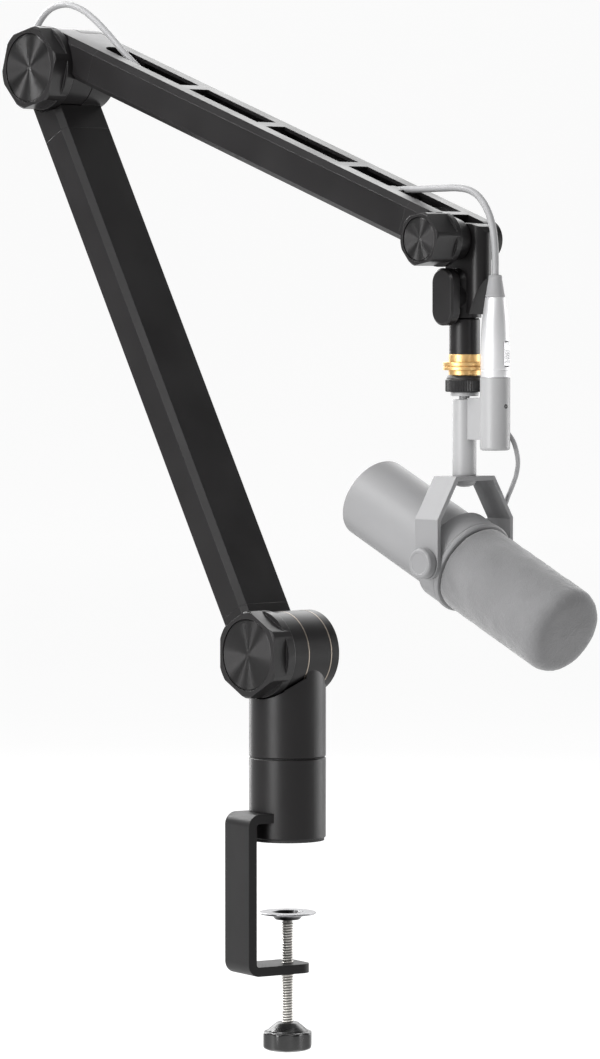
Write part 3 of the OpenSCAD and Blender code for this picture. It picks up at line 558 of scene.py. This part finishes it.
# From the plug's boot, over the wrist and into the upper arm
WRIST_ROUTE = [
    (188.8, 0, 366), (188.8, 0, 376), (188.2, 0, 386), (186.3, 0, 396), (181.6, 0, 406.5),
    (174.5, 0, 414.5), (166, 0, 418.8), (156, 0, 420.3), (142, 0, 420.4), (127, 0, 420.2),
    (112, 0, 420), (98, 0, 420), (84, 0, 420.6), (70, 0, 422.5), (50, 0, 428.5), (20, 0, 439),
    (-20, 0, 453),
]
# From there out of the first slot, over the elbow and into the lower arm
ELBOW_ROUTE = [
    (-20, 0, 453), (-60, 0, 467), (-90, 0, 478), (-108, 0, 485.5), (-124, 0, 493),
    (-140, 0, 502), (-156, 0, 513), (-172, 0, 526), (-188, 0, 538), (-204, 0, 547),
    (-221, 0, 551), (-238, 0, 547.5), (-250, 0, 537), (-256, 0, 523), (-256, 0, 508),
    (-252, 0, 493), (-247, 0, 479.5), (-241, 0, 467), (-232, 0, 455), (-221, 0, 445),
    (-208, 0, 434), (-195, 0, 423), (-183, 0, 410), (-172, 0, 395),
]
# Down inside the lower arm and out of a slot, as far as the hank on its back
LOWER_ROUTE = [
    (-172, 0, 395), (-161, 0, 380), (-150.5, 0, 360.5), (-142, 0, 344.5), (-134.5, 0.2, 329),
    (-130.5, 0.5, 316), (-129.5, 0.8, 305), (-129, 1, 295), (-127, 1.2, 285.5),
]
# The microphone's own lead, from its connector round the yoke into the body
MIC_ROUTE = [
    (191, 9, 268), (192.8, 12.5, 262), (191, 18, 251), (184.5, 23.5, 242), (176.5, 28, 234),
    (169, 32, 227.5), (162.5, 35.5, 221.5), (155.5, 36.5, 216), (149.5, 34.5, 212),
    (147, 29.5, 209), (147, 24.2, 207.3),
]
HANK_Y, HANK_LOW, HANK_HIGH = 17.0, 136.0, 190.0  # its middle, and its end turns' centres
HANK_IN, HANK_OUT = 11.25, 15.75  # radii of its inner and outer turns
HANK_LAYERS = (30.65, 35.15, 39.65)  # distances out from the shoulder's axis
HANK_DOWN, HANK_UP = (186, 172, 158, 144), (140, 154, 168, 182)  # points on its straight runs


def hank_route():
    """The stored turns, as (along the arm, across it, out from it), layer on layer."""
    turns = [  # radius and layer of each turn
        (HANK_OUT, 0), (HANK_IN, 0), (HANK_IN, 1), (HANK_OUT, 1), (HANK_OUT, 2), (HANK_IN, 2),
    ]
    points = []
    for (r, layer), nxt in zip(turns, turns[1:] + [None]):
        out = HANK_LAYERS[layer]
        for along in HANK_DOWN:
            points.append((along, HANK_Y - r, out))
        if nxt is None:
            break
        for k in range(1, 8):
            a = math.pi * k / 8
            points.append((HANK_LOW - r * math.sin(a), HANK_Y - r * math.cos(a), out))
        for along in HANK_UP:
            points.append((along, HANK_Y + r, out))
        for k in range(1, 9):
            t = k / 9
            a = math.pi * t
            size = (r + nxt[0]) / 2
            middle = HANK_Y + (r - nxt[0]) / 2
            rise = out + (HANK_LAYERS[nxt[1]] - out) * t * t * (3 - 2 * t)
            points.append((HANK_HIGH + size * math.sin(a), middle + size * math.cos(a), rise))
    return points


def from_lower_arm(along, across, out):
    """A point on the lower arm, in millimetres in the model's frame."""
    return tuple(LOWER @ Vector((-out * MM, across * MM, along * MM)) * (1 / MM))


# The end plug, stored below the hank: across the arm, out from it, and its nose along it
PLUG_Y, PLUG_OUT, PLUG_END = 10.0, 36.9, 55.0
PIN_RING, PIN_STEP, PIN_FIRST = 3.6, 2.1, 0.3  # its pins' radius and angles in radians
RIDGE = 0.45  # depth between the ridges of its strain relief
PLUG = LOWER @ Matrix.Translation((-PLUG_OUT * MM, PLUG_Y * MM, PLUG_END * MM))


def boot_ridges(low, high, start, end, count):
    """A strain relief's profile from radius start at low to radius end at high, with ridges."""
    profile = []
    for k in range(count * 4 + 1):
        t = k / (count * 4)
        r = start + (end - start) * t
        drawn_in = RIDGE if k % 4 in (2, 3) and 0.15 < t < 0.95 else 0
        profile.append((r - drawn_in, low + (high - low) * t))
    return profile


end_sleeve = eased([(8.0, 1), (8.6, 0), (9.4, 0.8), (9.4, 17), (9.15, 17.6), (9.15, 18.6),
                    (9.4, 19.2), (9.4, 30), (9.0, 34), (7.4, 40), (5, 40.2), (5, 20), (8.0, 16)],
                   0.4)
end_shell = build("end_plug_shell", [
    lathe(end_sleeve, closed=True), lathe([(0, 15.8), (8.3, 15.8), (8.3, 16.4), (0, 16.4)], 64),
], PLUG, "shell_nickel", "lower_arm", "end_plug")
end_pins = build("end_plug_pins", [
    moved(lathe(eased([(0, 3), (1.1, 3.4), (1.2, 5), (1.2, 16), (0, 16)], 0.3), 24),
          Matrix.Translation((PIN_RING * math.cos(a), PIN_RING * math.sin(a), 0)))
    for a in (PIN_FIRST, PIN_FIRST + PIN_STEP, PIN_FIRST + 2 * PIN_STEP)],
    PLUG, "pins_silver", "lower_arm")
end_boot = build("end_plug_boot", [
    lathe([(0, 36), (6.9, 36), (6.9, 40)] + boot_ridges(40.3, 56, 6.9, 3.4, 5)
          + [(2.4, 56.2), (0, 56.2)], 48)], PLUG, "boot_rubber", "lower_arm")

stored_end = [from_lower_arm(*p) for p in ((132, 5.8, 39.6), (122, 7.2, 39.0), (115, 9.2, 37.6),
                                           (110.5, 10, 36.9))]
LEAD = smooth_route([*WRIST_ROUTE, *ELBOW_ROUTE[1:], *LOWER_ROUTE[1:]]
                    + [from_lower_arm(*p) for p in hank_route()] + stored_end, 2.0)
WRIST_TOP, UPPER_IN = WRIST_ROUTE[5], WRIST_ROUTE[13]  # where one length of lead meets the next
UPPER_OUT, LOWER_IN = ELBOW_ROUTE[5], ELBOW_ROUTE[21]
LIMP = dict(far_end="object", stiffness="limp", lay="loose")

cable("lead_to_plug", LEAD, WRIST_ROUTE[0], WRIST_TOP, LEAD_D, None,
      ("mic_mount", "wrist", (188.8, 0, 366), (184, 0, 401)), nodes=("lead_wrist",), **LIMP)
cable("lead_over_wrist", LEAD, WRIST_TOP, UPPER_IN, LEAD_D, None,
      ("wrist", "upper_arm", WRIST_TOP, (118, 0, 420)), **LIMP)
cable("lead_in_upper_arm", LEAD, UPPER_IN, UPPER_OUT, LEAD_D, "upper_arm", None, **LIMP)
cable("lead_over_elbow", LEAD, UPPER_OUT, LOWER_IN, LEAD_D, None,
      ("upper_arm", "lower_arm", (-150, 0, 512), (-222, 0, 440)), nodes=("lead_elbow",), **LIMP)
cable("lead_stored", LEAD, LOWER_IN, stored_end[-1], LEAD_D, "lower_arm", None,
      [end_shell, end_pins, end_boot], nodes=("lead_lower", "lead_hank"), far_end="plug",
      stiffness="limp", lay="coiled")
cable("mic_tail", smooth_route(MIC_ROUTE, 1.5), MIC_ROUTE[0], MIC_ROUTE[-1], TAIL_D, None,
      ("mic_mount", "microphone", (191, 9, 268), (147, 29.5, 209)), nodes=("mic_lead",), **LIMP)

# ---- clamp ------------------------------------------------------------------------------------

DESK = 47.0  # thickness of the desk that the clamp is set for
THREAD_R, THREAD_PITCH, THREAD_DEPTH = 3.93, 1.75, 0.85
THREAD_ROWS = 10  # of points along each turn of the thread
KNOB_TOP = 119.0  # below the desk's upper face
KNOB_COLLAR = 5.5  # from the clamp knob's top down to where its grooves start
GROOVE_AT, GROOVE_R, GROOVES = 24.2, 8.9, 8  # centres and radius of the clamp knob's grooves


def threaded(a, r, z):
    """A radius on the screw's thread at angle a and height z. Other radii stay as they are."""
    if r != THREAD_R:
        return r
    wave = abs((z / THREAD_PITCH - a / (2 * math.pi)) % 1 * 2 - 1)
    return THREAD_R - THREAD_DEPTH * min(1, max(0, wave * 1.5 - 0.25))


def screw():
    """The clamp's screw, with its thread cut and the swivel stub that carries the pad."""
    top, low = -DESK - 7.0, -KNOB_TOP - 11.5
    count = int((top - low) / THREAD_PITCH * THREAD_ROWS)
    rod = [(0, low - 0.4), (3.2, low - 0.4)]
    rod += [(THREAD_R, low + (top - low) * k / count) for k in range(count + 1)]
    rod += [(3.25, top + 0.3), (3.2, top + 3.6), (4.6, top + 3.7), (4.2, top + 4.8), (2, top + 5.5),
            (0, top + 5.6)]
    return build("clamp_screw_thread", [lathe(rod, 36, twist=threaded)], BASE, "bright_steel",
                 "clamp_screw", "clamp_screw", sharp=50)


def lobed(a, r, z):
    """The clamp knob's radius, drawn in by its finger grooves below its collar."""
    if r < 9.5 or z > -KNOB_TOP - KNOB_COLLAR:
        return r
    turn = (a + math.pi / GROOVES) % (2 * math.pi / GROOVES) - math.pi / GROOVES
    dip = GROOVE_R ** 2 - (GROOVE_AT * math.sin(turn)) ** 2
    if dip <= 0:
        return r
    wall = GROOVE_AT * math.cos(turn) - math.sqrt(dip)
    crisp = 22  # how sharply the groove meets the round
    return (r ** -crisp + wall ** -crisp) ** (-1 / crisp)


def clamp():
    """The pressed pad, the screw and the moulded knob, which all move with the clamp."""
    pad = eased([(3.35, -5), (8, -5), (10.6, -1.6), (18.2, -1.4), (18.8, -0.7), (18.2, 0), (9.8, 0),
                 (7.2, -3.5), (3.35, -3.5)], 0.5, ends=False)
    build("clamp_pad_pressed", [lathe([(r, z - DESK) for r, z in pad], 120, closed=True)], BASE,
          "pad_satin", "clamp_pad", "clamp_pad", sharp=40)
    screw()
    grip = eased([(0, -19.4), (9, -19), (14, -17.9), (16.5, -16.4), (16.5, -7), (15.2, -6),
                  (13.3, -6), (13.3, -5.4), (6.8, 0), (4.3, 0)],
                 [0, 1, 2, 1.6, 1.6, 0.8, 0.1, 0.3, 1.2, 0])
    grip += [(4.0, -0.4), (4.0, -12), (0, -12)]
    build("clamp_knob_moulded", [lathe([(r, z - KNOB_TOP) for r, z in grip], 192, twist=lobed)],
          BASE, "knob_plastic", "clamp_screw", "clamp_knob", sharp=40)


clamp()

# ---- microphone mount -------------------------------------------------------------------------

RIBS, RIB_DEPTH = 72, 0.42  # of the knurled nut
LATCH_TURN, SCREW_TURN = math.radians(8), math.radians(1)  # round the connector's axis
SCREW_AT = (9.3 * MM, 0, -103.5 * MM)  # the connector's retaining screw
SIDE_KNOB_AT = 33.65 * MM  # from the middle plane out to a side knob's base


def ribbed(count, depth, low, high, inner):
    """A twist that cuts count straight ribs between two heights, outside the radius inner."""
    def twist(a, r, z):
        if r < inner or not low < z < high:
            return r
        return r - depth * (0.5 - 0.5 * math.cos(a * count))
    return twist


adapter = [(4.3, -84.4)] + stacked(
    (10, -84.4, -81.3), (13.5, -81.3, -79.2), (12.9, -79.2, -78.6), (13.5, -78.6, -76.3),
    (9.9, -76.3, -71.4)) + [(4.3, -71.4)]
build("brass_adapter_turned",
      [lathe(rows(adapter, 0.6), 144, closed=True),
       lathe([(0, -92), (7.7, -92), (7.9, -91.6), (7.9, -84.2), (0, -84.2)], 64)],
      MOUNT, "adapter_brass", "mic_mount", "brass_adapter", sharp=40)
nut = eased([(5.6, -94.9), (11.5, -94.9), (12, -94.4), (12, -87.4), (11.3, -86.9), (11.3, -86.2),
             (10.4, -84.7), (8.2, -84.7), (8.2, -92), (5.6, -92.6)], 0.3, ends=False)
knurl = ribbed(RIBS, RIB_DEPTH, -94.6, -87.6, 11.6)
build("knurled_nut_cut", [lathe(rows(nut, 0.7), 6 * RIBS, closed=True, twist=knurl)],
      MOUNT, "nut_black", "knurled_nut", "knurled_nut", sharp=40)
stem = eased([(0, -147.3), (7.5, -147.3), (7.5, -99.5), (3.4, -99.5), (3.4, -97.5), (8.8, -97.5),
              (8.8, -95.0), (5.3, -95.0), (5.3, -92.7), (7.4, -92.7), (7.4, -91.1), (0, -91.1)],
             0.5)
build("mic_stem_turned", [lathe(stem, 96)], MOUNT, "stem_grey", "mic_mount", "mic_stem", sharp=40)
boot = eased([(2.35, -35.8), (6.1, -35.8), (6.1, -34.6), (5.8, -34.2), (4.3, -24.6), (4.3, -23.2),
              (3.7, -22), (2.35, -22)], 0.5, ends=False)
build("plug_boot_moulded", [lathe(boot, 96, closed=True)], XLR, "boot_rubber", "mic_mount",
      "plug_boot", sharp=50)
shell = eased([(2.4, -35.9), (6.2, -35.9), (8.3, -50), (9.1, -66), (9.1, -80.4), (8.85, -80.6),
               (8.85, -81.2), (9.1, -81.4), (9.1, -85.7), (2.4, -85.7)],
              [0, 0.5, 14, 14, 0.1, 0.1, 0.1, 0.1, 0.4, 0], steps=8, ends=False)
plug_shell = build("plug_shell_turned",
                   [lathe(rows(shell, 2.0), 144, closed=True),
                    lathe([(0, -89.2), (7.8, -89.2), (7.8, -84), (0, -84)], 64)],
                   XLR, "shell_nickel", "mic_mount", "plug_shell", sharp=40)
LATCH_AT = XLR @ Matrix.Rotation(LATCH_TURN, 4, "Z")
cut(plug_shell, block(7.2, 12, -2.6, 2.6, -79, -63), LATCH_AT)


def latch():
    """The sprung release tab in its window, ridged for a thumb."""
    outline = [(7.7, -78.6), (9.35, -78.3), (9.35, -77.2)]
    for k in range(5):
        z = -76.4 + k * 1.6  # a ridge and the groove above it
        outline += [(9.35, z), (9.75, z + 0.4), (9.75, z + 0.8), (9.35, z + 1.2)]
    outline += [(9.35, -66), (8.9, -63.6), (7.7, -63.4)]
    count = len(outline)
    points = [(x, y, z) for y in (-2.35, 2.35) for x, z in outline]
    faces = [tuple(range(count)), tuple(range(2 * count - 1, count - 1, -1))]
    faces += [(i, i + count, (i + 1) % count + count, (i + 1) % count) for i in range(count)]
    build("plug_latch_tab", [(points, faces)], LATCH_AT, "shell_nickel", "latch", "plug_latch",
          sharp=30)


latch()


def barrel_screw():
    """The small dark retaining screw in the connector's side, with its socket."""
    face = XLR @ Matrix.Rotation(SCREW_TURN, 4, "Z") @ turned_y(SCREW_AT, math.pi / 2)
    head = lathe([(0, 0.05), (0.5, 0.05), (0.5, 0.25), (1.25, 0.25), (1.5, 0.05), (1.5, -1),
                  (0, -1)], 32)
    build("connector_screw", [head], face, "dark_screws", "mic_mount", sharp=30)


barrel_screw()
side_cap = eased([(3.1, 0), (8.9, 0), (9.5, 0.6), (9.5, 5.2), (8.5, 6.4), (6.9, 6.4), (6.6, 6.1),
                  (0, 6.1)], [0, 0.4, 0.4, 1.0, 0.6, 0.2, 0.2, 0]) + [(0, 5), (3.1, 5)]
for name, side in (("side_knob_near", -1), ("side_knob_far", 1)):
    outward = MIC @ Matrix.Rotation(-side * math.pi / 2, 4, "X")
    build(name + "_turned", [lathe(side_cap, 96, closed=True)],
          outward @ Matrix.Translation((0, 0, SIDE_KNOB_AT)), "stem_grey", name, name, sharp=40,
          finish="yoke_grey")

# ---- microphone -------------------------------------------------------------------------------

CASE_R, CASE_IN = 26.5, 24.3  # outside and inside radius of the body
BAND_AT, FOAM_AT, MIC_LEN = 79.0, 98.5, 189.5  # from the microphone's rear
SCREEN_R, SCREEN_IN = 28.4, 23.8  # outside and inside radius of the windscreen
SWELL, RIPPLE, PULLED_IN = 0.32, 0.16, 0.3  # unevenness of its skin, and how far it lies inside

case = [(CASE_IN, 4)] + eased([(CASE_IN, 0.8), (CASE_IN, 0), (CASE_R, 0), (CASE_R, BAND_AT)],
                              [0, 0.8, 4.4, 0], steps=10)
build("mic_body_turned", [lathe(case + [(CASE_IN, BAND_AT)], 192, closed=True)], MIC_REAR,
      "mic_grey", "microphone", "mic_body", sharp=50)


def windscreen():
    """The foam screen: a soft-edged sleeve with a slightly crowned end and an uneven skin."""
    skin = eased([(SCREEN_R - 1.2, FOAM_AT + 0.1), (SCREEN_R - 0.1, FOAM_AT + 1.2),
                  (SCREEN_R, FOAM_AT + 3), (SCREEN_R, MIC_LEN - 1.3), (0, MIC_LEN - 0.2)],
                 [0, 0, 0, 9.5, 0], steps=14)
    outline = rows(skin, 1.1) + [(0, MIC_LEN - 4), (SCREEN_IN, MIC_LEN - 9),
                                 (SCREEN_IN, FOAM_AT + 0.1)]
    points, faces = lathe(outline, 220, closed=True)
    soft = []
    for p in points:
        p = Vector(p)
        out = Vector((p.x, p.y, max(0.0, p.z - (MIC_LEN - 12)))).normalized()
        if p.xy.length > 24.5 or p.z > MIC_LEN - 2.5:
            uneven = SWELL * noise.noise(p * 0.11) + RIPPLE * noise.noise(p * 0.55)
            p += out * (uneven - PULLED_IN)
        soft.append(tuple(p))
    piece = build("windscreen_foam", [(soft, faces)], MIC_REAR, "foam_grey", "microphone",
                  "windscreen", sharp=70)


windscreen()

# The grommet where the short lead enters the body
entry, before_entry = Vector(MIC_ROUTE[-1]), Vector(MIC_ROUTE[-2])
grommet = eased([(1.6, -1.5), (2.9, -1.5), (2.9, 0.2), (2.2, 3.2), (1.6, 3.2)], 0.3, ends=False)
build("lead_grommet", [lathe(grommet, 40, closed=True)],
      Matrix.Translation(entry * MM)
      @ (before_entry - entry).to_track_quat("Z", "Y").to_matrix().to_4x4(),
      "boot_rubber", "microphone", sharp=50)

# ---- ties round the stored lead ---------------------------------------------------------------

TIE_W, TIE_T = 13.6, 1.1
BAR_LOOP = 11.8  # length of the loop round a bar of the arm's slot
OUT_FACE = 27.0  # from the shoulder's axis out to the lower arm's outer face
TIES = ((156.0, -1.0, 35.0, 13.9),  # each tie's place along the arm, and its bundle's
        (108.0, 2.8, 17.2, 15.5))   # low side, high side and thickness


def ties():
    """Hook-and-loop straps, each threaded round a bar of the arm's slot and round its bundle."""
    across_out = Matrix(((0, 0, -1), (0, 1, 0), (1, 0, 0))).to_4x4()
    along_out = Matrix(((0, 0, -1), (1, 0, 0), (0, 1, 0))).to_4x4()
    parts = []
    for along, low, high, thick in TIES:
        at = Matrix.Translation((0, 0, along)) @ across_out
        a, b = low - TIE_T, high + TIE_T
        near, far = OUT_FACE + 0.65, OUT_FACE + thick + 1.5
        parts.append(loop_strap([(a, near), (b, near), (b, far), (a, far)], TIE_W, TIE_T, at))
        flap = [(a + 4, far + TIE_T), (b - 1.5, far + TIE_T), (b - 1.5, far + 2 * TIE_T),
                (a + 4, far + 2 * TIE_T)]
        parts.append(loop_strap(flap, TIE_W - 0.8, 0.5, at))
        under = Matrix.Translation((0, 0, along)) @ along_out
        half, over, below = BAR_LOOP / 2, OUT_FACE + 0.4, OUT_FACE - 3.2
        parts.append(loop_strap([(-half, over), (half, over), (half, below), (-half, below)],
                                TIE_W - 2, TIE_T, under))
    return parts


build("hank_ties", ties(), LOWER, "tie_black", "lower_arm", "hank_tie", sharp=45)

# ---- rounded edges on the cast and machined pieces --------------------------------------------

SLOTS = {e["node"]: e["material_slot"] for e in frame["record"]["subparts"]}
OWNERS = {n: b for b, nodes in frame["record"]["behaviour"]["bodies"].items() for n in nodes}
for node, radius, finish in (
        ("shoulder_knob", 0.7, None), ("elbow_knob", 0.7, None), ("wrist_knob", 0.6, None),
        ("oval_knob", 0.9, None), ("mic_yoke", 0.7, "yoke_grey"), ("clamp_bracket", 1.1, None)):
    softened(node, SLOTS[node], OWNERS[node], radius, finish)

# ---- stage ------------------------------------------------------------------------------------

FLOOR_Z = -0.1642  # the clamp's knob just clears it with the clamp wide open
# The backdrop, in metres: its floor's front edge, its wall, and the sweep between them. The wall
# is further away than any view from behind.
FLOOR_FRONT, WALL_AT, WALL_HIGH, WALL_HALF, SWEEP = 9.0, 11.2, 12.8, 14.4, 3.2
LIT = Vector((0, 0, 0.28))  # what the lights point at
FILL, SEEN = 0.18, 0.95  # strength of the sky as light, and as it is seen itself
TOWARD = Vector((0.730, -0.683, 0))  # level, from the object to the camera
LEFT = Vector((-0.683, -0.730, 0))


def backdrop():
    """A pale floor that sweeps up into a wall behind the object, evenly lit from within."""
    paper = Shader("backdrop")
    paper.set(
        Base_Color=paper.shades(paper.noise(1.5, 2), (0.2, 0.2, 0.2), 0.02), Roughness=0.9,
        Emission_Color=(1, 1, 1, 1), Emission_Strength=0.88, Specular_IOR_Level=0.0)
    bend = [math.pi / 2 * k / 12 for k in range(13)]
    profile = [(FLOOR_FRONT, 0), (0, 0)]
    profile += [(-WALL_AT + SWEEP * (1 - math.sin(a)), SWEEP * (1 - math.cos(a))) for a in bend]
    profile.append((-WALL_AT, WALL_HIGH))
    points = [(x, y, FLOOR_Z + z) for x, z in profile for y in (-WALL_HALF, WALL_HALF)]
    faces = [(2 * i, 2 * i + 1, 2 * i + 3, 2 * i + 2) for i in range(len(profile) - 1)]
    mesh = bpy.data.meshes.new("backdrop")
    mesh.from_pydata(points, [], faces)
    mesh.transform(Matrix.Rotation(math.atan2(TOWARD.y, TOWARD.x), 4, "Z"))
    mesh.shade_smooth()
    mesh.materials.append(paper.material)
    sheet = bpy.data.objects.new("backdrop", mesh)
    bpy.context.scene.collection.objects.link(sheet)


def softbox(name, turn, rise, away, wide, high, power):
    """A rectangular light, turn degrees to the left of the camera, rise degrees up and away
    metres off."""
    a, e = math.radians(turn), math.radians(rise)
    level = TOWARD * math.cos(a) + LEFT * math.sin(a)
    light = bpy.data.objects.new(name, bpy.data.lights.new(name, "AREA"))
    light.data.shape = "RECTANGLE"
    light.data.size, light.data.size_y, light.data.energy = wide, high, power
    light.location = LIT + (level * math.cos(e) + Vector((0, 0, math.sin(e)))) * away
    light.rotation_mode = "QUATERNION"
    light.rotation_quaternion = (LIT - light.location).to_track_quat("-Z", "Y")
    light.visible_camera = False
    bpy.context.scene.collection.objects.link(light)


def sky():
    """The room's faint fill light, which looks as pale as the floor where it is seen itself."""
    world = bpy.data.worlds.new("studio")
    world.use_nodes = True
    nodes, links = world.node_tree.nodes, world.node_tree.links
    seen = nodes.new("ShaderNodeLightPath").outputs["Is Camera Ray"]
    strength = nodes.new("ShaderNodeMapRange")
    strength.inputs["To Min"].default_value = FILL
    strength.inputs["To Max"].default_value = SEEN
    links.new(seen, strength.inputs["Value"])
    links.new(strength.outputs[0], nodes["Background"].inputs["Strength"])
    nodes["Background"].inputs["Color"].default_value = (1, 1, 1, 1)
    bpy.context.scene.world = world
    bpy.context.scene.view_settings.view_transform = "Standard"


backdrop()
softbox("key", 43, 2, 1.8, 0.7, 2.2, 48)
softbox("right", -112, -6, 1.7, 1.0, 1.3, 18)
softbox("left_rim", 150, 8, 1.8, 0.5, 2.0, 12)
softbox("top_back", 188, 30, 2.0, 2.4, 1.2, 24)
softbox("overhead", 0, 80, 1.8, 1.6, 1.6, 14)
softbox("front_top", 13, 38, 1.8, 0.7, 0.6, 6)
softbox("left_top", 86, 44, 1.8, 0.35, 0.4, 15)
softbox("left_high", 126, 28, 1.8, 0.35, 0.4, 15)
sky()
